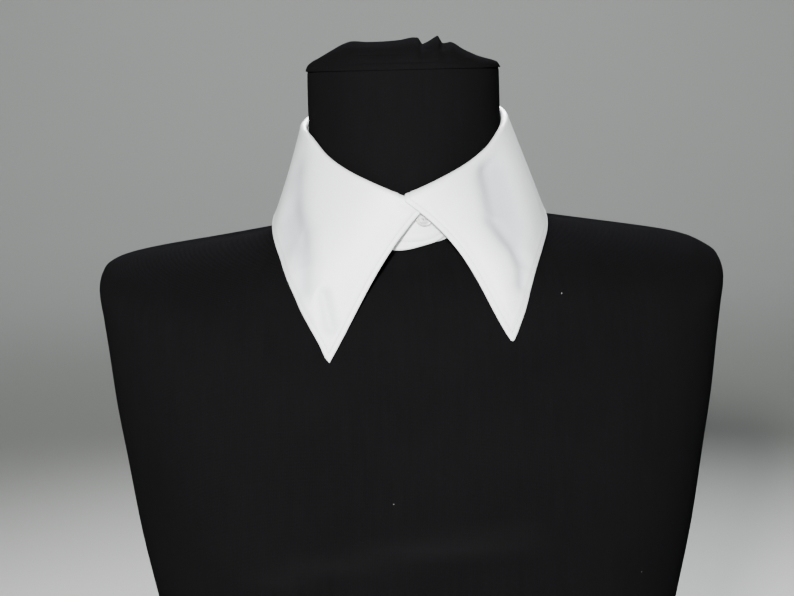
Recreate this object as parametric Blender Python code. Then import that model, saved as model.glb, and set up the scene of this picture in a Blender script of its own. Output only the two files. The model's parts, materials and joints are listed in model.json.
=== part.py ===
"""A detachable shirt collar buttoned round the neck of a cloth-covered dress form.

The form stands on its flat base. Its front faces -Y, its right side as seen from the front is +X, and +Z is up.
Tables and sizes are in millimetres. Meshes are made in metres.

Places on the collar are given by a turn in degrees: 0 is the front centre, 90 the form's -X side, 180 the back
and 270 the +X side. The end that lies on top starts a little before 0 and the end below it stops a little
after 360.
"""

import bpy
import numpy as np

MM = 0.001

# Sizes of the cloth and the small gaps that keep the pieces apart
WALL = 1.2
SEAM_GAP = 0.3
LAYER_GAP = 0.4
NECK_CLEARANCE = 0.8
SHARP_DEGREES = 35.0

# The form, which is one smooth body from the flat base to the rim of the neck
FORM_SHIFT_Y = -1.5
FORM_SEGMENTS = 48
FORM_FRONT_POWER = 1.3
NECK_SHIFT_X = -2.0
SHOULDER_Z = 380.0
NECK_FOOT_Z = 410.0
# The form stands a little askew: its +X shoulder is higher than its -X one by twice this tilt
SHOULDER_TILT = 2.0
TILT_STARTS = (380.0, 388.0)
TILT_ENDS = (402.0, 411.0)
TILT_REACH = 70.0
NECK_HALF_WIDTH = 58.5
NECK_HALF_DEPTH = 60.0
NECK_TOP_Z = 496.7
FORM_COLUMNS = (
    "side_z", "half_width", "front_y", "front_z", "back_y", "back_z", "squareness", "back_power",
)
FORM_RINGS = (
    (0.0, 130.0, -87.0, 0.0, 80.0, 0.0, 2.4, 2.0),
    (4.0, 134.0, -91.0, 4.0, 84.0, 4.0, 2.4, 2.0),
    (60.0, 141.0, -95.0, 60.0, 86.0, 60.0, 2.4, 2.0),
    (110.0, 149.5, -99.0, 110.0, 90.0, 110.0, 2.5, 2.0),
    (165.0, 160.5, -102.0, 164.0, 96.0, 166.0, 2.6, 2.0),
    (216.0, 170.5, -103.0, 212.0, 101.0, 219.0, 2.7, 2.0),
    (265.0, 177.5, -101.0, 255.0, 105.0, 270.0, 2.8, 2.0),
    (300.0, 182.5, -97.0, 284.0, 106.0, 307.0, 2.9, 2.0),
    (330.0, 185.5, -92.0, 306.0, 105.0, 338.0, 3.0, 2.0),
    (355.0, 188.5, -87.0, 324.0, 102.0, 362.0, 3.0, 2.5),
    (371.0, 190.5, -83.0, 337.0, 99.0, 377.0, 3.0, 3.0),
    (379.0, 187.0, -80.5, 345.0, 96.0, 387.0, 2.9, 3.0),
    (383.5, 179.0, -78.0, 352.0, 93.0, 391.0, 2.8, 3.5),
    (388.5, 157.0, -74.5, 360.0, 88.0, 399.0, 2.5, 4.5),
    (392.0, 130.0, -71.0, 367.0, 83.0, 406.0, 2.3, 6.0),
    (395.5, 105.0, -68.0, 372.0, 77.5, 413.0, 2.15, 6.5),
    (400.0, 84.0, -65.0, 376.0, 72.0, 418.5, 2.05, 5.0),
    (406.0, 69.0, -62.3, 380.0, 67.0, 423.0, 2.0, 3.0),
    (413.0, 60.5, -60.5, 384.5, 62.5, 428.0, 2.0, 1.8),
    (419.0, 58.5, -60.0, 387.5, 60.0, 433.0, 2.0, 1.3),
    (450.0, 58.5, -60.0, 430.0, 60.0, 462.0, 2.0, 1.0),
    (475.0, 58.5, -60.0, 466.0, 60.0, 480.0, 2.0, 1.0),
    (494.5, 58.5, -60.0, 494.5, 60.0, 494.5, 2.0, 1.0),
    (NECK_TOP_Z, 56.5, -58.0, NECK_TOP_Z, 58.0, NECK_TOP_Z, 2.0, 1.0),
)

# The cover cloth tucked over the neck's flat top
TUCK_HALF_WIDTH = 55.0
TUCK_HALF_DEPTH = 56.5
TUCK_EDGE = 1.2
TUCK_END_SHARE = 0.93
TUCK_SIDE_SHARE = 0.9
TUCK_COLUMNS = 26
TUCK_ROWS = 8
TUCK_NAMES = ("x", "height")
TUCK_PROFILE = (
    (-55.0, 2.0),
    (-49.0, 5.0),
    (-38.0, 9.0),
    (-32.0, 12.0),
    (-12.0, 13.5),
    (8.0, 14.8),
    (13.0, 12.5),
    (20.0, 16.8),
    (25.0, 13.0),
    (33.0, 13.0),
    (44.0, 6.0),
    (55.0, 2.0),
)

# The band's two layers at the front, as distances of their middles from the neck
UNDER_OFFSET = NECK_CLEARANCE + WALL / 2.0
OVER_OFFSET = UNDER_OFFSET + WALL + LAYER_GAP
OVERLAP_STARTS_TO_EASE = 14.0
OVERLAP_IS_GONE = 60.0
BAND_END_DROP = 0.03
BAND_END_ROUND = 8.5
BAND_END_FLAT = 0.3
BAND_END_HEIGHT = 0.5
BAND_SEGMENTS = 84
BAND_ROWS = 3
BAND_COLUMNS = ("turn", "low_z")
BAND_SECTIONS = (
    (-22.0, 395.0),
    (-15.0, 393.2),
    (-8.0, 391.4),
    (0.0, 389.5),
    (7.0, 389.2),
    (15.0, 391.5),
    (30.0, 397.5),
    (45.0, 404.5),
    (60.0, 412.0),
    (75.0, 418.0),
    (90.0, 422.5),
    (115.0, 428.0),
    (145.0, 433.5),
    (180.0, 436.0),
    (215.0, 433.5),
    (245.0, 428.0),
    (270.0, 422.5),
    (285.0, 418.0),
    (300.0, 412.0),
    (315.0, 404.5),
    (330.0, 397.5),
    (344.0, 393.2),
    (356.0, 391.8),
    (372.0, 392.5),
)

# The leaf, which folds over the band's upper edge and falls to the outer edge
STEM_HEIGHT = 1.5
ROLL_RADIUS = 1.6
LEFT_ROLL_RADIUS = 2.4
RIGHT_ROLL_RADIUS = 4.0
LEFT_ROLL_EASES = (5.0, 45.0)
RIGHT_ROLL_GROWS = (312.0, 342.0)
EARLY_BOW = 0.8
BELLY_PEAK = 6.75
ROLL_STEPS = 6
FALL_STEPS = 12
LEAF_SEGMENTS = 80
FRONT_CROWDING = 12.0
LEAF_COLUMNS = ("turn", "fold_z", "hem_x", "hem_y", "hem_z", "lean", "bow", "belly")
LEAF_SECTIONS = (
    (-9.0, 416.4, -48.6, -88.0, 328.0, 0.9, 4.0, 0.0),
    (-4.0, 418.2, -50.8, -87.0, 330.5, 0.9, 3.5, 0.3),
    (5.0, 422.8, -54.0, -85.0, 337.5, 0.9, 2.5, 1.2),
    (18.0, 429.0, -59.0, -81.8, 346.5, 0.9, 1.0, 2.8),
    (35.0, 437.0, -65.5, -76.0, 358.5, 0.9, 0.0, 4.0),
    (50.0, 445.0, -72.0, -65.5, 372.0, 0.85, 0.0, 3.5),
    (65.0, 454.5, -78.0, -49.0, 385.0, 0.8, 0.0, 2.0),
    (80.0, 459.5, -82.0, -31.0, 395.5, 0.8, 0.0, 1.0),
    (95.0, 463.0, -83.5, -10.0, 403.0, 0.8, 0.0, 0.0),
    (115.0, 467.5, -80.0, 18.0, 405.0, 0.8, 0.0, 0.0),
    (135.0, 471.0, -67.0, 44.0, 408.0, 0.8, 0.0, 0.0),
    (155.0, 473.5, -42.0, 66.0, 414.0, 0.8, 0.0, 0.0),
    (180.0, 474.5, -2.0, 80.0, 420.5, 0.8, 0.0, 0.0),
    (205.0, 474.0, 38.0, 66.0, 414.0, 0.8, 0.0, 0.0),
    (225.0, 473.0, 63.0, 44.0, 408.0, 0.8, 0.0, 0.0),
    (245.0, 471.0, 77.0, 18.0, 405.0, 0.9, 0.0, 0.0),
    (265.0, 466.5, 83.0, -10.0, 403.0, 1.0, 0.0, 0.0),
    (280.0, 461.8, 81.8, -30.0, 395.5, 1.05, 0.0, 0.7),
    (293.0, 456.0, 77.5, -47.0, 386.5, 1.0, 0.0, 1.5),
    (307.0, 447.5, 72.5, -61.5, 376.0, 1.0, 0.5, 2.5),
    (322.0, 439.8, 68.0, -72.5, 363.5, 0.95, 1.5, 4.0),
    (338.0, 432.5, 64.5, -78.4, 353.3, 0.9, 3.5, 4.0),
    (350.0, 426.8, 61.3, -82.0, 345.8, 0.9, 6.0, 2.5),
    (356.6, 423.9, 58.9, -84.1, 340.4, 0.9, 7.4, 0.9),
    (359.0, 422.8, 57.3, -85.2, 337.7, 0.9, 7.8, 0.4),
    (361.0, 421.9, 55.8, -85.6, 338.0, 0.9, 8.0, 0.0),
)
TROUGH_COLUMNS = ("start_turn", "start_share", "end_turn", "end_share", "half_width", "depth")
LEAF_TROUGHS = (
    (66.0, 0.63, 49.0, 0.60, 9.0, 2.4),
    (49.0, 0.60, 41.0, 0.71, 7.5, 2.7),
    (41.0, 0.71, 35.0, 0.84, 6.5, 2.0),
    (18.0, 0.76, 4.0, 0.86, 4.5, 1.7),
    (316.0, 0.08, 325.0, 0.34, 7.0, 2.4),
    (328.0, 0.38, 322.0, 0.62, 7.0, 2.8),
    (322.0, 0.62, 321.5, 0.77, 6.0, 2.8),
    (321.5, 0.77, 329.0, 0.86, 5.0, 2.2),
    (128.0, 0.30, 140.0, 0.80, 9.0, 2.2),
    (228.0, 0.35, 214.0, 0.75, 9.0, 2.2),
)
# Wider, shallow hollows on the outer side of the creases, with the same columns
LEAF_HOLLOWS = (
    (308.0, 0.18, 316.0, 0.55, 11.0, 2.6),
    (72.0, 0.35, 56.0, 0.74, 12.0, 2.2),
)

# The button on the band's outer face
BUTTON_TURN = -9.2
BUTTON_Z = 408.4
BUTTON_RADIUS = 5.6
BUTTON_THICKNESS = 2.0
BUTTON_SEGMENTS = 32
HOLE_RADIUS = 0.75
HOLE_SPREAD = 1.7
HOLE_SEGMENTS = 10
HOLE_OVERRUN = 1.0
BUTTON_PROFILE = (
    (BUTTON_RADIUS - 0.8, 0.0),
    (BUTTON_RADIUS - 0.15, 0.4),
    (BUTTON_RADIUS, 1.0),
    (BUTTON_RADIUS - 0.2, 1.6),
    (BUTTON_RADIUS - 0.8, BUTTON_THICKNESS),
    (BUTTON_RADIUS - 1.5, 1.8),
    (BUTTON_RADIUS - 2.1, 1.4),
)


def smooth_step(start, end, value):
    """0 before start, 1 after end, and an even S between them."""
    share = np.clip((np.asarray(value, float) - start) / (end - start), 0.0, 1.0)
    return share * share * (3.0 - 2.0 * share)


def curve_through(places, values, wanted):
    """A smooth curve through a table's values, read at the wanted places.

    The slope at each row is the weighted mean of the slopes on its two sides, and the rows are joined by cubics.
    """
    places = np.asarray(places, float)
    values = np.asarray(values, float)
    steps = np.diff(places)
    slopes = np.diff(values) / steps
    inner = (slopes[:-1] * steps[1:] + slopes[1:] * steps[:-1]) / (steps[:-1] + steps[1:])
    tangents = np.concatenate([slopes[:1], inner, slopes[-1:]])
    row = np.clip(np.searchsorted(places, wanted, side="right") - 1, 0, len(steps) - 1)
    width = steps[row]
    share = (wanted - places[row]) / width
    low = values[row] * (1.0 + 2.0 * share) * (1.0 - share) ** 2
    high = values[row + 1] * share * share * (3.0 - 2.0 * share)
    low_slope = tangents[row] * width * share * (1.0 - share) ** 2
    high_slope = tangents[row + 1] * width * share * share * (share - 1.0)
    return low + high + low_slope + high_slope


def column(table, names, name):
    """One named column of a table."""
    return np.array([row[names.index(name)] for row in table], float)


def rounded(value, power):
    """A sine or cosine bent towards a rounded rectangle."""
    return np.sign(value) * np.abs(value) ** (2.0 / power)


def form_ring(row, segments):
    """One ring of the form: a rounded oval whose front and back lie at heights of their own."""
    size = dict(zip(FORM_COLUMNS, row))
    side_z = size["side_z"]
    turn = np.arange(segments) / segments * 2.0 * np.pi
    across = -rounded(np.sin(turn), size["squareness"])
    along = -rounded(np.cos(turn), size["squareness"])
    depth = np.where(along < 0.0, -size["front_y"], size["back_y"])
    front = np.clip(-along, 0.0, 1.0) ** FORM_FRONT_POWER
    back = np.clip(along, 0.0, 1.0) ** size["back_power"]
    middle_x = NECK_SHIFT_X * smooth_step(SHOULDER_Z, NECK_FOOT_Z, side_z)
    x = middle_x + across * size["half_width"]
    y = along * depth
    on_shoulder = smooth_step(*TILT_STARTS, side_z) * (1.0 - smooth_step(*TILT_ENDS, side_z))
    z = side_z + (size["front_z"] - side_z) * front + (size["back_z"] - side_z) * back
    z += SHOULDER_TILT * on_shoulder * np.clip(x / TILT_REACH, -1.0, 1.0)
    return np.stack([x, y, z], axis=1)


def ring_loft(rings):
    """Faces between rings with the same number of points, and one flat face on each end."""
    count, segments = rings.shape[:2]
    faces = []
    for low in range(count - 1):
        for place in range(segments):
            ahead = (place + 1) % segments
            a = low * segments + place
            b = low * segments + ahead
            faces.append((a, b, b + segments, a + segments))
    faces.append(tuple(reversed(range(segments))))
    faces.append(tuple(range((count - 1) * segments, count * segments)))
    return faces


def sheet_normals(grid):
    """Unit normals of a surface given as rows and columns of points."""
    down = np.gradient(grid, axis=0)
    along = np.gradient(grid, axis=1)
    normals = np.cross(down, along)
    return normals / np.linalg.norm(normals, axis=2, keepdims=True)


def wall_faces(rows, columns):
    """Faces of a wall: its outer grid, its inner grid and the four edges between them."""
    inner = rows * columns
    faces = []
    for row in range(rows - 1):
        for place in range(columns - 1):
            a = row * columns + place
            b = a + 1
            c = a + columns + 1
            d = a + columns
            faces.append((a, b, c, d))
            faces.append((d + inner, c + inner, b + inner, a + inner))
    border = list(range(columns))
    border += [row * columns + columns - 1 for row in range(1, rows)]
    border += [(rows - 1) * columns + place for place in range(columns - 2, -1, -1)]
    border += [row * columns for row in range(rows - 2, 0, -1)]
    for here, there in zip(border, border[1:] + border[:1]):
        faces.append((there, here, here + inner, there + inner))
    return faces


def enclosed_volume(points, faces):
    """The signed volume inside closed faces: positive when they point out."""
    total = 0.0
    for face in faces:
        corner = points[face[0]]
        for second, third in zip(face[1:-1], face[2:]):
            total += np.dot(corner, np.cross(points[second], points[third]))
    return total / 6.0


def add_solid(name, points, faces, material):
    """An object from millimetre points, with its faces turned outward."""
    points = np.asarray(points, float).reshape(-1, 3)
    if enclosed_volume(points, faces) < 0.0:
        faces = [tuple(reversed(face)) for face in faces]
    mesh = bpy.data.meshes.new(name)
    shifted = (points + (0.0, FORM_SHIFT_Y, 0.0)) * MM
    mesh.from_pydata(shifted.tolist(), [], faces)
    mesh.update()
    mesh.shade_smooth()
    mesh.set_sharp_from_angle(angle=np.radians(SHARP_DEGREES))
    mesh.materials.append(material)
    obj = bpy.data.objects.new(name, mesh)
    bpy.context.scene.collection.objects.link(obj)
    return obj


def make_material(name, colour, roughness, metallic=0.0):
    """A plain Principled material."""
    material = bpy.data.materials.new(name)
    material.use_nodes = True
    shader = material.node_tree.nodes["Principled BSDF"]
    shader.inputs["Base Color"].default_value = (*colour, 1.0)
    shader.inputs["Roughness"].default_value = roughness
    shader.inputs["Metallic"].default_value = metallic
    return material


def neck_point(turn, offset, z):
    """A point at a turn round the neck, an offset out from its cloth and a height."""
    angle = np.radians(turn)
    x = NECK_SHIFT_X - (NECK_HALF_WIDTH + offset) * np.sin(angle)
    y = -(NECK_HALF_DEPTH + offset) * np.cos(angle)
    return np.stack(np.broadcast_arrays(x, y, z), axis=-1)


def layer_offset(turn):
    """How far the band's middle lies from the neck: further where its left end lies on top of its right end."""
    share = 1.0 - smooth_step(OVERLAP_STARTS_TO_EASE, OVERLAP_IS_GONE, turn)
    return UNDER_OFFSET + (OVER_OFFSET - UNDER_OFFSET) * share


def roll_radius(turn):
    """The leaf's fold radius: wide at the front ends, widest where the right end passes over the left one."""
    left = 1.0 - smooth_step(*LEFT_ROLL_EASES, turn)
    right = smooth_step(*RIGHT_ROLL_GROWS, turn)
    return ROLL_RADIUS + (LEFT_ROLL_RADIUS - ROLL_RADIUS) * left + (RIGHT_ROLL_RADIUS - ROLL_RADIUS) * right


def leaf_value(name, turn):
    """A column of the leaf's table, read at any turn."""
    turns = column(LEAF_SECTIONS, LEAF_COLUMNS, "turn")
    return curve_through(turns, column(LEAF_SECTIONS, LEAF_COLUMNS, name), turn)


def roll_centre_z(turn):
    """Height of the centre of the leaf's fold."""
    return leaf_value("fold_z", turn) - WALL / 2.0 - roll_radius(turn)


def outward_at(turn):
    """The level direction away from the neck at a turn."""
    angle = np.radians(turn)
    return np.stack([-np.sin(angle), -np.cos(angle), np.zeros_like(angle)], axis=-1)


def hem_point(turn):
    """The point of the leaf's outer edge at a turn."""
    return np.stack([leaf_value(name, turn) for name in ("hem_x", "hem_y", "hem_z")], axis=-1)


def roll_point(turn, bend):
    """A point on the leaf's fold, bend radians over from its stem."""
    radius = roll_radius(turn)
    out = layer_offset(turn) + radius * (1.0 - np.cos(bend))
    return neck_point(turn, out, roll_centre_z(turn) + radius * np.sin(bend))


def roll_end(turn):
    """The bend at which the fold meets the fall: short of half a turn by the fall's lean."""
    line = hem_point(turn) - roll_point(turn, np.pi)
    reach = (line * outward_at(turn)).sum(axis=-1)
    drop = np.sqrt((line * line).sum(axis=-1) - reach * reach)
    return np.pi - np.arctan2(reach * leaf_value("lean", turn), drop)


def fall_points(turn, share):
    """Points down the leaf's fall, from its fold (share 0) to its outer edge (share 1).

    A lean of 1 makes a straight line, and less lets it hang steeper at first. It bows sideways by its table's bow
    and outward by its belly, which is fullest two thirds of the way down.
    """
    outward = outward_at(turn)
    sideways = np.cross(outward, (0.0, 0.0, 1.0))
    sideways = np.where((turn > 180.0)[..., None], -sideways, sideways)
    start = roll_point(turn, roll_end(turn))
    line = hem_point(turn) - start
    reach = (line * outward).sum(axis=-1, keepdims=True) * outward
    lean = leaf_value("lean", turn)[..., None]
    s = share[..., None]
    swing = s * (lean + (1.0 - lean) * s)
    bow = leaf_value("bow", turn)[..., None] * 4.0 * s * (1.0 - s) * (1.0 + EARLY_BOW * (1.0 - 2.0 * s))
    belly = leaf_value("belly", turn)[..., None] * BELLY_PEAK * s * s * (1.0 - s)
    return start + (line - reach) * s + reach * swing + sideways * bow + outward * belly


def leaf_middle(turns):
    """The leaf's middle surface: a short stem, half a turn of fold and the fall, one column for each turn."""
    rows = [neck_point(turns, layer_offset(turns), roll_centre_z(turns) - STEM_HEIGHT)]
    for share in np.linspace(0.0, 1.0, ROLL_STEPS + 1)[:-1]:
        rows.append(roll_point(turns, roll_end(turns) * share))
    for share in np.linspace(0.0, 1.0, FALL_STEPS + 1):
        rows.append(fall_points(turns, np.full_like(turns, share)))
    return np.array(rows)


def distance_to_segment(points, start, end):
    """Distance of each point from a straight segment."""
    line = end - start
    share = np.clip(((points - start) @ line) / (line @ line), 0.0, 1.0)
    nearest = start + share[..., None] * line
    return np.linalg.norm(points - nearest, axis=-1)


def dip(grid, row):
    """How deep one trough is at each point of the leaf."""
    trough = dict(zip(TROUGH_COLUMNS, row))
    start = fall_points(np.array(trough["start_turn"]), np.array(trough["start_share"]))
    end = fall_points(np.array(trough["end_turn"]), np.array(trough["end_share"]))
    away = distance_to_segment(grid, start, end) / trough["half_width"]
    return trough["depth"] * np.exp(-away * away)


def press_troughs(grid, normals):
    """Soft troughs and hollows pressed into the fall. Where troughs meet, the deeper one counts."""
    sink = np.max([dip(grid, row) for row in LEAF_TROUGHS], axis=0)
    sink += sum(dip(grid, row) for row in LEAF_HOLLOWS)
    sink[: ROLL_STEPS + 2] = 0.0
    return grid - normals * sink[..., None]


def leaf_turns():
    """Columns of the leaf: closer together at the front ends, where it bends most."""
    share = np.linspace(0.0, 1.0, LEAF_SEGMENTS + 1)
    first = LEAF_SECTIONS[0][0]
    last = LEAF_SECTIONS[-1][0]
    even = first + (last - first) * share
    return even - FRONT_CROWDING * np.sin(2.0 * np.pi * share)


def make_wall(name, middle, material):
    """A wall of the cloth's thickness about a middle surface."""
    normals = sheet_normals(middle)
    outer = middle + normals * WALL / 2.0
    inner = middle - normals * WALL / 2.0
    points = np.concatenate([outer.reshape(-1, 3), inner.reshape(-1, 3)])
    return add_solid(name, points, wall_faces(*middle.shape[:2]), material)


def make_leaf(material):
    """The fall of the collar, folded down over the band in one piece from front end to front end."""
    middle = leaf_middle(leaf_turns())
    normals = sheet_normals(middle)
    front_of_fall = normals[ROLL_STEPS + 4, 0]
    if front_of_fall[1] > 0.0:
        normals = -normals
    return make_wall("collar_leaf", press_troughs(middle, normals), material)


def band_edges(turn):
    """Heights of the band's lower and upper edge, drawn together round its two ends."""
    turns = column(BAND_SECTIONS, BAND_COLUMNS, "turn")
    low = curve_through(turns, column(BAND_SECTIONS, BAND_COLUMNS, "low_z"), turn)
    on_leaf = np.clip(turn, LEAF_SECTIONS[0][0], LEAF_SECTIONS[-1][0])
    high = roll_centre_z(on_leaf) - STEM_HEIGHT - SEAM_GAP
    past = np.abs(turn - on_leaf)
    high = high - BAND_END_DROP * past * past
    to_end = np.minimum(turn - turns[0], turns[-1] - turn) / BAND_END_ROUND
    inside = 1.0 - np.clip(to_end, 0.0, 1.0)
    round_share = BAND_END_FLAT + (1.0 - BAND_END_FLAT) * np.sqrt(1.0 - inside * inside)
    middle = low + (high - low) * BAND_END_HEIGHT
    return middle + (low - middle) * round_share, middle + (high - middle) * round_share


def make_band(material):
    """The upright band: one strip whose left end lies on top of its right end at the front."""
    first = BAND_SECTIONS[0][0]
    last = BAND_SECTIONS[-1][0]
    share = np.linspace(0.0, 1.0, BAND_SEGMENTS + 1)
    turns = first + (last - first) * share - FRONT_CROWDING * np.sin(2.0 * np.pi * share)
    low, high = band_edges(turns)
    rows = []
    for rise in np.linspace(0.0, 1.0, BAND_ROWS + 1):
        rows.append(neck_point(turns, layer_offset(turns), low + (high - low) * rise))
    return make_wall("collar_band", np.array(rows), material)


def turned_profile(profile, segments):
    """Rings of a profile of radius and height, turned about an upright axis."""
    angle = np.arange(segments) / segments * 2.0 * np.pi
    ring = np.stack([np.cos(angle), np.sin(angle)], axis=1)
    rings = []
    for radius, height in profile:
        rings.append(np.column_stack([ring * radius, np.full(segments, height)]))
    return np.array(rings)


def make_button(material):
    """The button: a disc with a raised rim and four thread holes, its face turned outward on the band."""
    rings = turned_profile(BUTTON_PROFILE, BUTTON_SEGMENTS)
    angle = np.radians(BUTTON_TURN)
    outward = np.array([-np.sin(angle), -np.cos(angle), 0.0])
    sideways = np.array([np.cos(angle), -np.sin(angle), 0.0])
    up = np.array([0.0, 0.0, 1.0])
    seat = neck_point(BUTTON_TURN, OVER_OFFSET + WALL / 2.0 + SEAM_GAP, BUTTON_Z)

    def placed(points):
        return seat + points[..., :1] * sideways + points[..., 1:2] * up + points[..., 2:] * outward

    button = add_solid("button", placed(rings), ring_loft(rings), material)
    hole_profile = ((HOLE_RADIUS, -HOLE_OVERRUN), (HOLE_RADIUS, BUTTON_THICKNESS + HOLE_OVERRUN))
    hole_rings = turned_profile(hole_profile, HOLE_SEGMENTS)
    points = []
    faces = []
    for corner in range(4):
        spin = np.pi / 4.0 + corner * np.pi / 2.0
        shift = HOLE_SPREAD * np.array([np.cos(spin), np.sin(spin), 0.0])
        faces += [tuple(index + len(points) for index in face) for face in ring_loft(hole_rings)]
        points += list(placed(hole_rings + shift).reshape(-1, 3))
    cutter = add_solid("button_hole_cutter", points, faces, material)
    cutter.hide_render = True
    cutter.display_type = "WIRE"
    cut = button.modifiers.new("thread holes", "BOOLEAN")
    cut.operation = "DIFFERENCE"
    cut.object = cutter
    return button


def make_torso(material):
    """The form: torso, shoulders and neck in one body."""
    rings = np.array([form_ring(row, FORM_SEGMENTS) for row in FORM_RINGS])
    return add_solid("form_torso", rings, ring_loft(rings), material)


def make_neck_tuck(material):
    """The cover cloth gathered and tucked over the top of the neck: a low mound, higher in its middle."""
    across = np.linspace(-1.0, 1.0, TUCK_COLUMNS + 1)
    along = np.linspace(-1.0, 1.0, TUCK_ROWS + 1)
    x = across * TUCK_HALF_WIDTH
    height = curve_through(column(TUCK_PROFILE, TUCK_NAMES, "x"), column(TUCK_PROFILE, TUCK_NAMES, "height"), x)
    half_depth = TUCK_HALF_DEPTH * np.sqrt(1.0 - TUCK_END_SHARE * across * across)
    y = along[:, None] * half_depth[None, :]
    dome = np.sqrt(1.0 - TUCK_SIDE_SHARE * along * along)[:, None]
    bottom = NECK_TOP_Z + SEAM_GAP
    top = bottom + TUCK_EDGE + (height[None, :] - TUCK_EDGE) * dome
    x_grid = np.broadcast_to(x + NECK_SHIFT_X, y.shape)
    upper = np.stack([x_grid, y, top], axis=-1)
    lower = np.stack([x_grid, y, np.full_like(y, bottom)], axis=-1)
    points = np.concatenate([upper.reshape(-1, 3), lower.reshape(-1, 3)])
    return add_solid("form_neck_tuck", points, wall_faces(*y.shape), material)


def main():
    for obj in list(bpy.data.objects):
        bpy.data.objects.remove(obj, do_unlink=True)
    cotton = make_material("white_cotton", (0.86, 0.88, 0.9), 0.85)
    pearl = make_material("white_button", (0.88, 0.88, 0.86), 0.3)
    jersey = make_material("black_jersey", (0.012, 0.012, 0.014), 0.9)
    make_torso(jersey)
    make_neck_tuck(jersey)
    make_band(cotton)
    make_leaf(cotton)
    make_button(pearl)


if __name__ == "__main__":
    main()
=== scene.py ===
"""The looks of a detachable shirt collar buttoned round the neck of a cloth-covered dress form.

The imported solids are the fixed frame. This file adds the fine cloth over them, its sewing, the button's thread,
the form's cover, all the finishes, and a studio with a camera.

Tables and lengths inside the functions are in millimetres. Meshes and the panel's sizes are in metres. Places on
the collar are given by a turn in degrees: 0 is the front centre, 90 the form's -X side, 180 the back and 270 the
+X side.
"""

import json
import math

import bpy
import numpy as np
from mathutils import Matrix, Vector


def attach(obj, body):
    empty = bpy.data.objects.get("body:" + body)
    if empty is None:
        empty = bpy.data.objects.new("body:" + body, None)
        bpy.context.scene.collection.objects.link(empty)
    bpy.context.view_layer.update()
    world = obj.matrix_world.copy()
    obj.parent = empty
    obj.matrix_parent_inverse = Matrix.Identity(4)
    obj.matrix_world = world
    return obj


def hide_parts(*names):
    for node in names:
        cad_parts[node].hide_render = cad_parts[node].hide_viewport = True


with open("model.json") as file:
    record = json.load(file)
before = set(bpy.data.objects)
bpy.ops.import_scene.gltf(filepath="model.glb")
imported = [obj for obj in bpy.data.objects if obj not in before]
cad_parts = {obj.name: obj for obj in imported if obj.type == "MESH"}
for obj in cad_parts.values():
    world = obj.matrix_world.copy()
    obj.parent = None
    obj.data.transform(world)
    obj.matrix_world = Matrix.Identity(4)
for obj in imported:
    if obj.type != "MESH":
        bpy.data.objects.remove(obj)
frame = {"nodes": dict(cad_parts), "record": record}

bl_info = {
    "name": "Shirt collar on a dress form",
    "version": (1, 0, 0),
    "blender": (4, 5, 0),
    "location": "3D View > Sidebar > Collar",
    "description": "Dresses the packed collar and its form with cloth, sewing, finishes, light and a camera",
    "category": "Object",
}

MM = 0.001
BODY = "root"
CLOTH_UV = "cloth"
EDGE_WEAR = "edge_wear"
PAINTED_CREASE_SHADE = "crease_tone"
PAINTED_FOLD_SHEEN = "rubbed"

# The form, as in the solids, with a rounder rim to its neck
FORM_SHIFT_Y = -1.5
FORM_FRONT_POWER = 1.3
NECK_SHIFT_X = -2.0
SHOULDER_Z = 380.0
NECK_FOOT_Z = 410.0
SHOULDER_TILT = 2.0
TILT_STARTS = (380.0, 388.0)
TILT_ENDS = (402.0, 411.0)
TILT_REACH = 70.0
NECK_HALF_WIDTH = 58.5
NECK_HALF_DEPTH = 60.0
NECK_TOP_Z = 496.7
FORM_COLUMNS = (
    "side_z", "half_width", "front_y", "front_z", "back_y", "back_z", "squareness", "back_power",
)
FORM_RINGS = (
    (0.0, 130.0, -87.0, 0.0, 80.0, 0.0, 2.4, 2.0),
    (4.0, 134.0, -91.0, 4.0, 84.0, 4.0, 2.4, 2.0),
    (60.0, 141.0, -95.0, 60.0, 86.0, 60.0, 2.4, 2.0),
    (110.0, 149.5, -99.0, 110.0, 90.0, 110.0, 2.5, 2.0),
    (165.0, 160.5, -102.0, 164.0, 96.0, 166.0, 2.6, 2.0),
    (216.0, 170.5, -103.0, 212.0, 101.0, 219.0, 2.7, 2.0),
    (265.0, 177.5, -101.0, 255.0, 105.0, 270.0, 2.8, 2.0),
    (300.0, 182.5, -97.0, 284.0, 106.0, 307.0, 2.9, 2.0),
    (330.0, 185.5, -92.0, 306.0, 105.0, 338.0, 3.0, 2.0),
    (355.0, 188.5, -87.0, 324.0, 102.0, 362.0, 3.0, 2.5),
    (371.0, 190.5, -83.0, 337.0, 99.0, 377.0, 3.0, 3.0),
    (379.0, 187.0, -80.5, 345.0, 96.0, 387.0, 2.9, 3.0),
    (383.5, 179.0, -78.0, 352.0, 93.0, 391.0, 2.8, 3.5),
    (388.5, 157.0, -74.5, 360.0, 88.0, 399.0, 2.5, 4.5),
    (392.0, 130.0, -71.0, 367.0, 83.0, 406.0, 2.3, 6.0),
    (395.5, 105.0, -68.0, 372.0, 77.5, 413.0, 2.15, 6.5),
    (400.0, 84.0, -65.0, 376.0, 72.0, 418.5, 2.05, 5.0),
    (406.0, 69.0, -62.3, 380.0, 67.0, 423.0, 2.0, 3.0),
    (413.0, 60.5, -60.5, 384.5, 62.5, 428.0, 2.0, 1.8),
    (419.0, 58.5, -60.0, 387.5, 60.0, 433.0, 2.0, 1.3),
    (450.0, 58.5, -60.0, 430.0, 60.0, 462.0, 2.0, 1.0),
    (475.0, 58.5, -60.0, 466.0, 60.0, 480.0, 2.0, 1.0),
    (492.0, 58.3, -59.8, 492.0, 59.8, 492.0, 2.0, 1.0),
    (494.5, 57.4, -58.9, 494.5, 58.9, 494.5, 2.0, 1.0),
    (NECK_TOP_Z, 54.5, -56.0, NECK_TOP_Z, 56.0, NECK_TOP_Z, 2.0, 1.0),
)
FORM_SEGMENTS = 176
RINGS_BETWEEN = 5
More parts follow.
